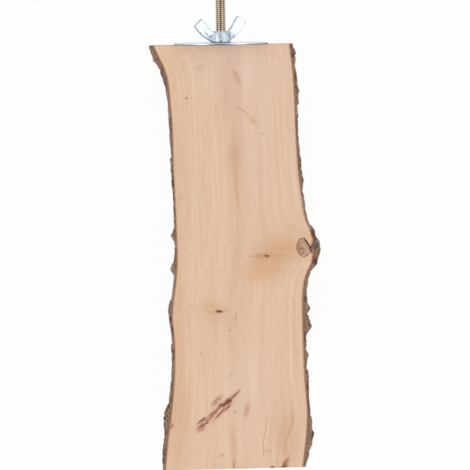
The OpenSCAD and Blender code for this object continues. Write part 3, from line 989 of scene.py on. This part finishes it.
RIGHT_SKIN = [
    (0, -0.4), (-2, -0.7), (-4, 0.3), (-6, 0.9), (-7.6, -0.3), (-11, 0), (-15, 0.1), (-19, 0.5), (-23, 0.3),
    (-25, -0.4), (-27, 0), (-30, 0.9), (-32, -0.3), (-34, -0.5), (-36, 0.3), (-38, 0.9), (-40, 0), (-44, 0.5),
    (-46, 1), (-48, 0.6), (-60, 0.6), (-72, 0.5), (-76, 0.9), (-78, 1.3), (-80, 0.3), (-84, 1.1), (-87, 1.7),
    (-90, 0.5), (-95, 0), (-101, 0.4), (-105, 0.1), (-109, 0.5), (-111, 0), (-116, -0.4), (-118, 0.2),
    (-120, 0), (-122, -1), (-124, -0.9), (-126, -0.1), (-130, -0.9), (-132, -0.3), (-134, 0.3), (-138, 0.6),
    (-139.4, 1.4), (-141, 1.9), (-143, 1.5), (-145, 0.6), (-153, 1.1), (-158, 0.6), (-162, -0.2),
    (-166, -0.3), (-168, 0.8), (-170, 0.8), (-172, 0.2), (-174, 0.6), (-176, -1), (-178, -0.6), (-179.6, 1.4),
    (-181.5, 1.8), (-183.5, 0.9), (-185, -0.1), (-190, 0.3), (-197, -0.3), (-199, 0.6), (-201, -0.15),
    (-208, -0.2), (-213, 0.9), (-216, 0.4), (-222, 0.7), (-229, 1.1), (-233, 0.9), (-239, 0.1), (-243, -0.1),
    (-245, 0.1), (-246.4, -0.9), (-248.4, -0.2), (-252, 0.4), (-254, 0.8), (-258, 0.6), (-267, 0.9),
    (-270, 1),
]
# The two strips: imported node, side of the board, skin and seed
STRIPS = (("left_bark", -1, LEFT_SKIN, 3.7), ("right_bark", 1, RIGHT_SKIN, 11.2))
# Least thickness of the bark, and how much prouder the whole left strip stands
BARK_LEAST = 0.45
LEFT_PROUD = 0.45
# Heights of the knobs' and the big lump's middles, and how flat their coloured places are
KNOB_LEVEL = 3.5
BUMP_LEVEL = 7.0
MARK_SQUEEZE = 1.4

# Coloured places of the big lump: place, half width, half length, colour, strength
BUMP_MARKS = [
    (57.3, -120.8, 2.4, 3.6, (98, 52, 46), 0.85), (59.2, -123.6, 1.3, 1.3, (60, 36, 36), 0.85),
    (57.4, -125.6, 1.4, 1.7, (158, 104, 70), 0.8), (58.4, -128.6, 3.4, 3.2, (92, 80, 74), 0.9),
    (60.2, -125.6, 1.3, 1.4, (150, 142, 136), 0.75), (60.2, -131.6, 2.2, 1.4, (150, 120, 102), 0.75),
    (58, -134, 2.2, 1.9, (150, 104, 74), 0.8), (60.6, -135.3, 1.3, 1.3, (104, 94, 92), 0.75),
    (57.4, -138, 1.8, 3.2, (120, 66, 54), 0.85), (59, -139.3, 1.5, 2.6, (72, 60, 60), 0.85),
]
# The same for the knobs and the rest of the bark
KNOB_MARKS = [
    (53.9, -168.7, 1.4, 2.1, (52, 44, 42), 0.95), (54.4, -181, 2.8, 3.6, (152, 106, 86), 0.7),
    (-44.3, -3, 2, 3.4, (148, 136, 126), 0.6), (-33.9, -121, 1.5, 2, (58, 46, 42), 0.9),
    (-33, -142, 1.8, 2.6, (140, 92, 70), 0.7), (-38.6, -229.6, 1.5, 1.6, (62, 50, 46), 0.85),
    (-38.9, -233.4, 1.5, 1.4, (150, 138, 128), 0.65), (54.3, -253, 2, 2.4, (162, 122, 102), 0.6),
    (53, -236, 2, 8, (106, 64, 54), 0.6), (55.2, -249, 2, 2.6, (62, 44, 42), 0.8),
    (-37, -243.5, 2.4, 5, (146, 88, 66), 0.6),
]


# Where drift reads its noise for each of the three directions
DRIFT_STEPS = [Vector(step) for step in ((0, 0, 0), (37.1, 11.3, 5.9), (3.7, 51.2, 23.4))]


def drift(spot):
    """Smooth shift of a place, from plain noise, which is the same in every run."""
    return Vector([noise.noise(spot + step) for step in DRIFT_STEPS])


def bark_relief(looks, along, high, seed):
    """Height of the bark's scales in millimetres, how open the cracks are, and the scale's shade."""
    spot = Vector((along, high, seed))
    spot += 2.6 * drift(spot * 0.2) + 1.1 * drift(spot * 0.65)
    spot = Vector((spot.x * MM / looks.plate_length, spot.y * MM / looks.plate_width, seed))
    far, cells = noise.voronoi(spot)
    crack = smoothstep(0.0, 0.17, far[1] - far[0])
    own = noise.noise(cells[0] * 7.3)
    lift = (spot - cells[0]).x * (0.6 + noise.noise(cells[0] * 3.1 + Vector((5, 1, 2))))
    flakes = noise.fractal(Vector((along * 0.55, high * 1.2, seed)), 1.0, 2.2, 5)
    fine = noise.noise(Vector((along * 2.6, high * 2.9, seed)))
    relief = looks.relief / MM * (0.4 * crack + 0.8 * own + 0.9 * lift - 0.95) + 0.2 * flakes + 0.12 * fine
    return relief, crack, 0.5 + own + 0.15 * flakes


class Edge:
    """The live edge as packed: reach of the wood and of the bark, by ray, at any place."""

    def __init__(self, node, side):
        self.node = frame["nodes"][node]
        self.side = side

    def hit(self, from_x, towards, along, high):
        origin = Vector((from_x, along, high)) * MM
        found, place, _, _ = self.node.ray_cast(origin, Vector((towards, 0, 0)))
        return place.x / MM if found else None

    def reach(self, along, high):
        along = min(max(along, -BOARD_LENGTH + 1.2), -0.02)
        high = min(max(high, -8.95), 8.95)
        inner = self.hit(0, self.side, along, high)
        outer = self.hit(self.side * 90, -self.side, along, high)
        if inner is None or outer is None:
            raise RuntimeError(f"no bark at {along:.1f}, {high:.1f}")
        return inner, outer


def far_end(x):
    """Place of the far saw cut at a distance across the board."""
    return -BOARD_LENGTH + x * math.tan(math.radians(FAR_SKEW))


def skin_height(table, along):
    """The table's height at a place along the board, read between its own places."""
    for (at, first), (to, second) in zip(table, table[1:]):
        if along >= to:
            return first + (second - first) * min(max((at - along) / (at - to), 0), 1)
    return table[-1][1]


def build_bark(node, name, side, skin, looks, seed):
    """Strip of bark grown over a packed one, row by row, from its inside outwards."""
    edge = Edge(node, side)
    around = BARK_LIP + BARK_LEVELS + BARK_LIP + 2
    deselect()
    bpy.ops.mesh.primitive_grid_add(x_subdivisions=BARK_ROWS, y_subdivisions=around, size=1)
    piece = bpy.context.object
    piece.name = name
    mesh = piece.data
    order = sorted(range(len(mesh.vertices)), key=lambda i: (round(mesh.vertices[i].co.x, 5),
                                                             mesh.vertices[i].co.y))
    kept = {name: [value] * len(order) for name, value in
            (("bark_depth", 0.0), ("bark_open", 1.0), ("bark_shade", 0.5))}
    for row in range(BARK_ROWS + 1):
        share = row / BARK_ROWS
        along = -share * BOARD_LENGTH
        reaches = [edge.reach(along, BOARD_TOP - depth) for depth in READ_DEPTHS]
        proud = skin_height(skin, along) + (LEFT_PROUD if side < 0 else 0)

        def read(high, which):
            """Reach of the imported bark's inside, 0, or outside, 1, between the depths read."""
            down = BOARD_TOP - high
            for k, (above, below) in enumerate(zip(READ_DEPTHS, READ_DEPTHS[1:])):
                if down <= below + 1e-9:
                    u = smoothstep(above, below, down)
                    return reaches[k][which] * (1 - u) + reaches[k + 1][which] * u
            return reaches[-1][which]

        outers = []
        for k in range(BARK_LEVELS + 1):
            high = BOARD_TOP - 2 * BOARD_TOP * k / BARK_LEVELS
            inner, outer = read(high, 0), read(high, 1)
            relief, crack, shade = bark_relief(looks, along, high, seed)
            relief += min(proud, 0.5) + max(proud - 0.5, 0) * math.exp(-((high - KNOB_LEVEL) / 5) ** 2)
            thick = max(abs(outer - inner) + relief, BARK_LEAST + 0.25 * crack)
            outers.append((inner + side * thick, high, thick, crack, shade, inner))
        top, bottom = outers[0], outers[-1]

        # Round the strip: upper face, outside, lower face, and the inside against the wood
        ring = []
        for k in range(BARK_LIP):
            u = k / BARK_LIP
            ring.append((top[-1] * (1 - u) + top[0] * u, BOARD_TOP, top[2] * u, 1.0, 0.5))
        ring += [place[:-1] for place in outers]
        for k in range(1, BARK_LIP + 1):
            u = 1 - k / BARK_LIP
            ring.append((bottom[-1] * (1 - u) + bottom[0] * u, -BOARD_TOP, bottom[2] * u, 1.0, 0.5))
        ring.append((read(0, 0), 0.0, 0.0, 1.0, 0.5))
        ring.append((top[-1], BOARD_TOP, 0.0, 1.0, 0.5))
        for k, (x, high, *numbers) in enumerate(ring):
            index = order[row * (around + 1) + k]
            mesh.vertices[index].co = Vector((x, share * far_end(x), high)) * MM
            for values, number in zip(kept.values(), numbers):
                values[index] = number
    for name, values in kept.items():
        keep_values(piece, name, values)
    return close_up(piece, 2 * WELD, flat=True)


def bark_material(looks):
    material, sheet = new_material("bark")
    place = sheet.place_mm()
    x, y, z = sheet.split(place)
    depth = sheet.kept("bark_depth")
    opening = sheet.kept("bark_open")
    ragged = sheet.noise(sheet.scaled(place, 1, 0.5, 1), 1.3, 4, 0.65)
    depth = sheet.math("MULTIPLY_ADD", sheet.minus(ragged, 0.5), 0.9, depth)
    layers = sheet.ramp(sheet.math("DIVIDE", depth, 4.0), (0.02, looks.rim), (0.17, looks.inner),
                        (0.36, looks.middle), (0.55, tone(140, 110, 90)), (0.8, looks.outer))
    speck = sheet.noise(place, 0.9, 4, 0.72)
    away = sheet.span(depth, 0.5, 1.3)
    layers = sheet.tint(layers, away, sheet.span(speck, 0.53, 0.62, 0, 0.6), tone(186, 160, 138))
    layers = sheet.tint(layers, away, sheet.span(speck, 0.46, 0.37, 0, 0.7), looks.dark)

    shade = sheet.kept("bark_shade")
    weather = sheet.noise(sheet.scaled(place, 0.35, 0.2, 0.35), 1.0, 4, 0.6)
    shade = sheet.plus(shade, sheet.span(weather, 0.3, 0.7, -0.25, 0.25, smooth=False))
    skin = sheet.ramp(shade, (0.12, tone(108, 82, 66)), (0.36, tone(138, 106, 86)), (0.54, looks.outer),
                      (0.72, tone(166, 140, 122)), (0.9, tone(158, 116, 92)))
    skin = sheet.blend(sheet.span(speck, 0.53, 0.62, 0, 0.7), skin, looks.pale)
    # Painted shade in the bark's cracks, darker deeper in each crack
    skin = sheet.blend(sheet.span(opening, 0.6, 0.05, 0, 0.75), skin, looks.dark)
    skin = sheet.blend(sheet.span(speck, 0.44, 0.35, 0, 0.6), skin, looks.dark)

    flat = sheet.math("GREATER_THAN", sheet.math("ABSOLUTE", z), BOARD_TOP - 0.015)
    ends = sheet.math("MAXIMUM", sheet.math("GREATER_THAN", y, -0.01), sheet.math("LESS_THAN", y, FAR_CUT))
    sawn = sheet.math("MAXIMUM", flat, ends)
    base = sheet.blend(sawn, skin, layers)
    dapple = sheet.span(sheet.noise(place, 1.1, 3, 0.7), 0.42, 0.56)
    tear = sheet.noise(place, 0.7, 3, 0.6, out="Color")
    mark_spot = sheet.split(sheet.vector("MULTIPLY_ADD", sheet.vector("SUBTRACT", tear, (0.5, 0.5, 0.5)),
                                         (2.4, 3.6, 7), sheet.scaled(place, 1, 1, MARK_SQUEEZE)))
    levels = [BUMP_LEVEL] * len(BUMP_MARKS) + [KNOB_LEVEL] * len(KNOB_MARKS)
    for level, (px, py, wide, long, hue, strength) in zip(levels, BUMP_MARKS + KNOB_MARKS):
        mask = sheet.mark(mark_spot, (px, py, level * MARK_SQUEEZE), wide, long, 0, 0.4)
        gritty = sheet.blend(dapple, lit(hue, 0.5), lit(hue, 1.3))
        base = sheet.tint(base, mask, strength, gritty)
    height = sheet.math("MULTIPLY_ADD", speck, 1.0, ragged)
    sheet.surface(base, sheet.span(speck, 0.3, 0.7, 0.8, 0.95), sheet.bump(height, 0.6, 0.35),
                  **{"Specular IOR Level": 0.2})
    return material


class PERCH_OT_bark(bpy.types.Operator):
    """Both strips of bark, with plates, cracks and lumps"""
    bl_idname = "perch.bark"
    bl_label = "Bark"

    def execute(self, context):
        looks = context.scene.perch_bark
        finish = bark_material(looks)
        for node, side, skin, seed in STRIPS:
            piece = build_bark(node, node + "_grown", side, skin, looks, seed)
            settle(piece, "perch", [node], finish, 55)
        return {"FINISHED"}


# ---------------------------------------------------------------- knot

def knot_material(looks):
    material, sheet = new_material("dead_knot")
    place = sheet.place_mm()
    ragged = sheet.noise(place, 0.6, 3, 0.6, out="Color")
    shift = sheet.vector("MULTIPLY", sheet.vector("SUBTRACT", ragged, (0.5, 0.5, 0.5)), (1.6, 1.6, 0))
    rough_spot = sheet.split(sheet.vector("ADD", place, shift))
    knot_x, knot_y = KNOT_MIDDLE
    reach = sheet.mark(rough_spot, (knot_x - 0.9, knot_y + 1, BOARD_TOP), 4.6, 6.2, 0.2, out="Reach")
    rings = sheet.math("POWER", sheet.span(sheet.math("SINE", sheet.times(reach, 19.0)), -1, 1), 2.0)
    fibre = sheet.use("Wood Fibre", place=place, across=0.7, along=0.5)
    base = sheet.blend(sheet.span(fibre["Streak"], 0.38, 0.62), looks.face, looks.blush)
    base = sheet.tint(base, rings, 0.22, looks.ring)
    base = sheet.tint(base, fibre["Pores"], 0.3, tone(110, 76, 58))

    # Two lobes, each with its own dark outline, and the line between them
    for px, py, long, wide, turn in ((-1.9, 3.1, 4.0, 3.4, 0.3), (0.3, -3.4, 4.0, 3.4, -0.2)):
        lobe = sheet.mark(rough_spot, (knot_x + px, knot_y + py, BOARD_TOP), long, wide, turn, out="Reach")
        outline = sheet.times(sheet.span(lobe, 0.78, 0.98), sheet.span(lobe, 1.2, 1.0))
        base = sheet.tint(base, outline, 0.36, looks.ring)
    middle = sheet.mark(rough_spot, (knot_x - 1, knot_y - 0.2, BOARD_TOP), 5.0, 0.45, -0.1, 0.7)
    base = sheet.tint(base, middle, 0.2, tone(110, 78, 60))
    for px, py, long, wide, turn, hue in ((-2.2, -3.3, 2.2, 1.9, 0.3, (168, 124, 104)),
                                          (-3.4, 2.6, 1.8, 1.3, 1.4, (174, 130, 110)),
                                          (2.3, -0.9, 3.6, 0.7, 2.08, (222, 190, 162)),
                                          (0.6, 3.4, 2.2, 0.8, 2.0, (190, 164, 124))):
        blotch = sheet.mark(rough_spot, (knot_x + px, knot_y + py, BOARD_TOP), long, wide, turn, 0.7)
        base = sheet.tint(base, blotch, 0.6, tone(*hue))
    x, y, z = sheet.split(place)
    base = sheet.crack_line(base, (x, y, z))
    # Painted shade on the knot's sides, down in its socket
    side = sheet.math("LESS_THAN", sheet.math("ABSOLUTE", z), BOARD_TOP - 0.12)
    base = sheet.tint(base, side, 0.9, tone(104, 74, 54))
    rough = sheet.span(fibre["Streak"], 0.3, 0.7, 0.6, 0.8)
    sheet.surface(base, rough, sheet.bump(sheet.plus(fibre["Height"], rings), 0.3, 0.2),
                  **{"Specular IOR Level": 0.3})
    return material


class PERCH_OT_knot(bpy.types.Operator):
    """Dead knot in its socket, with an eased rim"""
    bl_idname = "perch.knot"
    bl_label = "Knot"

    def execute(self, context):
        looks = context.scene.perch_knot
        piece = copy_of("knot", "dead_knot")
        modify(piece, "REMESH", mode="VOXEL", voxel_size=0.22 * MM)
        modify(piece, "SMOOTH", factor=0.5, iterations=2)
        settle(piece, "perch", ["knot"], knot_material(looks), 40)
        return {"FINISHED"}


# ---------------------------------------------------------------- hardware

def axis_distance(sheet, place):
    x, _, z = sheet.split(place)
    return sheet.vector("LENGTH", sheet.join(x, 0.0, z))


def brass_material(looks):
    material, sheet = new_material("yellow_zinc")
    place = sheet.place_mm()
    skin = sheet.use("Plating", place=place, patch_size=2.5)
    base = sheet.blend(sheet.span(skin["Patches"], 0.35, 0.65), looks.brass, tone(222, 202, 174))
    base = sheet.blend(sheet.span(skin["Grain"], 0.55, 0.7, 0, 0.25), base, tone(186, 168, 132))
    # Painted shade: the thread's roots are darkened by their depth under the crests
    depth = sheet.span(axis_distance(sheet, place), CREST_R - 0.08, CREST_R - 0.34)
    base = sheet.tint(base, depth, 0.97, looks.brass_painted_shade)
    # Painted shade: the stud's two sides, left and right of its axis, are darkened
    x, _, _ = sheet.split(place)
    painted_side_shade = sheet.span(sheet.math("ABSOLUTE", x), 1.9, 2.8)
    base = sheet.tint(base, painted_side_shade, 0.8, looks.brass_painted_shade)
    rough = sheet.span(skin["Grain"], 0.3, 0.7, 0.22, 0.32)
    sheet.surface(base, rough, sheet.bump(skin["Height"], 0.1, 0.03), Metallic=1.0)
    return material


def zinc_material(looks, name, patch_size, bump_mm, clouds, dulled=1.0, painted_low_shade=0.0, marks=(), sheared_and_shaded=0.0,
                  mark_level=2.0):
    """Bright plating; the sheared height is where a stamped rim's torn band ends, painted dark both as its
    dull sheared face and as painted shade next to the board.
    """
    material, sheet = new_material(name)
    place = sheet.place_mm()
    x, y, z = sheet.split(place)
    skin = sheet.use("Plating", place=place, patch_size=patch_size)
    base = sheet.blend(sheet.span(skin["Patches"], 0.42, 0.7, 0, clouds), looks.zinc, looks.zinc_dull)
    base = sheet.blend(sheet.span(skin["Grain"], 0.6, 0.74, 0, 0.2), base, tone(168, 176, 186))
    base = sheet.tint(base, skin["Scratches"], 0.35, tone(246, 248, 250))
    # Painted shade along bulging edges, and along the washer's rim next to the board
    edge = sheet.kept("painted_edge_shade")
    base = sheet.blend(1.0, base, (0.95 * dulled, dulled, 1.03 * dulled, 1), "MULTIPLY")
    # Painted shade: darker and bluer towards the nut's base
    base = sheet.tint(base, sheet.span(y, 6, 1.3), painted_low_shade, tone(150, 168, 188))
    base = sheet.tint(base, edge, 0.9, looks.zinc_painted_shade)
    # Painted shade in soft spots, in the zinc's shade colour
    for px, py, long, wide, turn, strength in marks:
        base = sheet.dab(base, (x, y, z), (px, py, mark_level), long, wide, turn, 0.7, strength,
                         looks.zinc_painted_shade)
    # Partly painted shade: the rim's torn band is darkened as the shade next to the board
    if sheared_and_shaded:
        torn_and_shaded = sheet.times(sheet.span(y, sheared_and_shaded + 0.12, sheared_and_shaded - 0.12),
                           sheet.math("GREATER_THAN", axis_distance(sheet, place), WASHER_R - 0.3))
        base = sheet.tint(base, torn_and_shaded, 0.85, tone(104, 96, 94))
    rough = sheet.span(skin["Patches"], 0.35, 0.7, 0.24, 0.42)
    sheet.surface(base, rough, sheet.bump(skin["Height"], 0.3, bump_mm), Metallic=0.9)
    return material


# Painted shade where the wings grow out of the hub, along the nut's base and on the wings: place, half
# length, half width, turn, strength
NUT_PAINTED_SHADE = [
    (-6.5, 5.4, 1.3, 0.8, 0.9, 0.8), (6.5, 7.4, 1.6, 0.6, 0.9, 0.6), (5.4, 5.6, 1.2, 0.5, -0.8, 0.5),
    (0, 1.9, 7, 0.7, 0, 0.6), (-0.8, 5.4, 0.7, 2.2, 0, 0.35), (-9.8, 7.8, 3.4, 1.3, -0.85, 0.4),
    (-8.2, 5.6, 2.8, 0.7, -0.8, 0.45), (8.4, 6.6, 0.6, 0.5, 0, 0.6), (7.6, 4.9, 2.8, 1, 0.5, 0.45),
    (12.6, 13.4, 2.2, 0.5, 0.6, 0.3), (-13.4, 13.2, 1.4, 0.5, 0.9, 0.3), (3.4, 7.6, 0.8, 1.2, 0, 0.3),
]


class PERCH_OT_hanger_bolt(bpy.types.Operator):
    """Bolt with a machine thread outside the board and a wood thread in it"""
    bl_idname = "perch.hanger_bolt"
    bl_label = "Hanger Bolt"

    def execute(self, context):
        looks = context.scene.perch_metal
        piece = machine_thread("hanger_bolt_threaded", 0.0)
        trim = turned_bar("trim", [(0, 0), (CREST_R + 0.2, 0), (CREST_R + 0.2, STUD_OUT - STUD_BEVEL - 0.2),
                                   (CREST_R - STUD_BEVEL, STUD_OUT), (0, STUD_OUT)])
        join_solid(piece, trim, "INTERSECT")
        core = turned_bar("core", [(0, POINT_END), (POINT_R, POINT_END), (CORE_R, CORE_END),
                                   (CORE_R, SHANK_END - 0.4), (SHANK_R, SHANK_END), (SHANK_R, 0.3),
                                   (CREST_R - 0.9, 0.3), (0, 0.3)])
        join_solid(piece, core, "UNION")
        foot = CORE_R - 0.3
        ridge = threaded_bar("ridge", [(foot, 0), (foot, 1.6), (RIDGE_R, 2.15), (RIDGE_R, 2.3),
                                       (foot, RIDGE_PITCH)], RIDGE_PITCH, RIDGE_TURNS)
        ridge.location.y = POINT_END * MM
        trim = turned_bar("trim", [(0, POINT_END + 0.4), (0.3, POINT_END + 0.4),
                                   (RIDGE_R + 0.05, CORE_END + 1.2), (RIDGE_R + 0.05, SHANK_END - 1.2),
                                   (0.5, SHANK_END - 0.6), (0, SHANK_END - 0.6)])
        take(ridge)
        bpy.ops.object.transform_apply(location=True)
        join_solid(ridge, trim, "INTERSECT")
        join_solid(piece, ridge, "UNION")
        settle(piece, "perch", ["hanger_bolt"], brass_material(looks), 28)
        return {"FINISHED"}


def machine_thread(name, grow):
    """The stud's thread, longer than the stud at both ends; grow widens it for cutting a nut."""
    root = CREST_R - 0.61 * PITCH + grow
    crest = CREST_R + grow
    section = [(root, 0), (root, 0.18 * PITCH), (crest, 0.42 * PITCH), (crest, 0.78 * PITCH), (root, PITCH)]
    bar = threaded_bar(name, section, PITCH, THREAD_TURNS)
    bar.location.y = THREAD_START * PITCH * MM
    take(bar)
    bpy.ops.object.transform_apply(location=True)
    return bar


class PERCH_OT_washer(bpy.types.Operator):
    """Large thin washer with rolled rims"""
    bl_idname = "perch.washer"
    bl_label = "Washer"

    def execute(self, context):
        looks = context.scene.perch_metal
        deselect()
        bpy.ops.mesh.primitive_cylinder_add(vertices=160, radius=WASHER_R * MM, depth=WASHER_T * MM,
                                            location=(0, WASHER_T / 2 * MM, 0),
                                            rotation=(math.radians(90), 0, 0))
        piece = context.object
        piece.name = "washer_stamped"
        bpy.ops.object.transform_apply(location=True, rotation=True)
        edit(piece)
        pick(piece, "FACE", lambda f: abs(f.normal.y) > 0.9)
        bpy.ops.mesh.inset(thickness=(WASHER_R - WASHER_HOLE_R) * MM, use_even_offset=True)
        pick(piece, "FACE", lambda f: abs(f.normal.y) > 0.9 and len(f.verts) > 10)
        bpy.ops.mesh.bridge_edge_loops()
        pick(piece, "EDGE", lambda e: len(e.link_faces) == 2 and e.calc_face_angle(0) > math.radians(60))
        bpy.ops.mesh.bevel(offset=0.22 * MM, segments=3, affect="EDGES")
        end_edit()
        # Painted shade on the rim's edge where it meets the board
        keep_values(piece, "painted_edge_shade", [1.0 if 0 < v.co.y / MM < 0.1 else 0.0 for v in piece.data.vertices])
        # The washer's one spot is painted shade on the rim's top, below the nut
        settle(piece, "clamp_washer", ["washer"],
               zinc_material(looks, "washer_zinc", 9, 0.04, 0.45, sheared_and_shaded=0.5, mark_level=WASHER_R - 1,
                             marks=[(-0.8, 0.35, 9, 0.45, 0, 0.9)]))
        return {"FINISHED"}


# Film of air between the nut and the washer, in millimetres
SEAT_GAP = 0.02


class PERCH_OT_wing_nut(bpy.types.Operator):
    """Forged wing nut with a tapped bore"""
    bl_idname = "perch.wing_nut"
    bl_label = "Wing Nut"

    def execute(self, context):
        looks = context.scene.perch_metal
        piece = copy_of("wing_nut", "wing_nut_forged")
        modify(piece, "REMESH", mode="VOXEL", voxel_size=looks.remesh)

        # Fillets where the wings grow out of the hub, and softer edges all over
        fillet = piece.vertex_groups.new(name="fillet")
        for vertex in piece.data.vertices:
            out = math.hypot(vertex.co.x, vertex.co.z) / MM
            fillet.add([vertex.index], smoothstep(4.2, 5.4, out) * smoothstep(9.5, 7.2, out), "REPLACE")
        modify(piece, "SMOOTH", factor=0.5, iterations=40, vertex_group="fillet")
        piece.vertex_groups.remove(piece.vertex_groups["fillet"])
        modify(piece, "SMOOTH", factor=0.5, iterations=6)
        normals = [vertex.normal.copy() for vertex in piece.data.vertices]
        for vertex, normal in zip(piece.data.vertices, normals):
            place = vertex.co / MM
            dent = 0.05 * noise.noise(place * 0.35) + 0.03 * noise.noise(place * 1.1)
            place += normal * dent
            vertex.co = Vector((place.x, max(place.y, WASHER_T + SEAT_GAP), place.z)) * MM
        plug = turned_bar("plug", [(0, WASHER_T + 0.5), (CREST_R + 0.4, WASHER_T + 0.5),
                                   (CREST_R + 0.4, WASHER_T + HUB_H - 0.6), (0, WASHER_T + HUB_H - 0.6)])
        join_solid(piece, plug, "UNION")
        join_solid(piece, machine_thread("tap", 0.05), "DIFFERENCE")
        # Painted shade along the nut's bulging edges
        keep_values(piece, "painted_edge_shade", painted_edge_shade(piece, 8))
        settle(piece, "clamp_nut", ["wing_nut"],
               zinc_material(looks, "nut_zinc", 4, 0.12, 0.7, dulled=0.94, painted_low_shade=0.1, marks=NUT_PAINTED_SHADE), 40)
        return {"FINISHED"}


# ---------------------------------------------------------------- panel and start

class PERCH_PT_sidebar(bpy.types.Panel):
    """Pieces of the perch, in the order in which they are made"""
    bl_label = "Bird Perch"
    bl_idname = "PERCH_PT_sidebar"
    bl_space_type = "VIEW_3D"
    bl_region_type = "UI"
    bl_category = "Bird Perch"

    def draw(self, context):
        for operator in PIECES:
            self.layout.operator(operator.bl_idname)


LOOKS = {"perch_board": PerchBoardLooks, "perch_bark": PerchBarkLooks, "perch_knot": PerchKnotLooks,
         "perch_metal": PerchMetalLooks, "perch_stage": PerchStageLooks}
PIECES = (PERCH_OT_stage, PERCH_OT_board, PERCH_OT_bark, PERCH_OT_knot, PERCH_OT_hanger_bolt,
          PERCH_OT_washer, PERCH_OT_wing_nut)


def register():
    for item in (*LOOKS.values(), *PIECES, PERCH_PT_sidebar):
        bpy.utils.register_class(item)
    for name, looks in LOOKS.items():
        setattr(bpy.types.Scene, name, PointerProperty(type=looks))


def unregister():
    for name in reversed(LOOKS):
        delattr(bpy.types.Scene, name)
    for item in reversed((*LOOKS.values(), *PIECES, PERCH_PT_sidebar)):
        bpy.utils.unregister_class(item)


def main():
    register()
    build_groups()
    bpy.ops.perch.stage()
    bpy.ops.perch.board()
    bpy.ops.perch.bark()
    bpy.ops.perch.knot()
    bpy.ops.perch.hanger_bolt()
    bpy.ops.perch.washer()
    bpy.ops.perch.wing_nut()


if __name__ == "__main__":
    main()
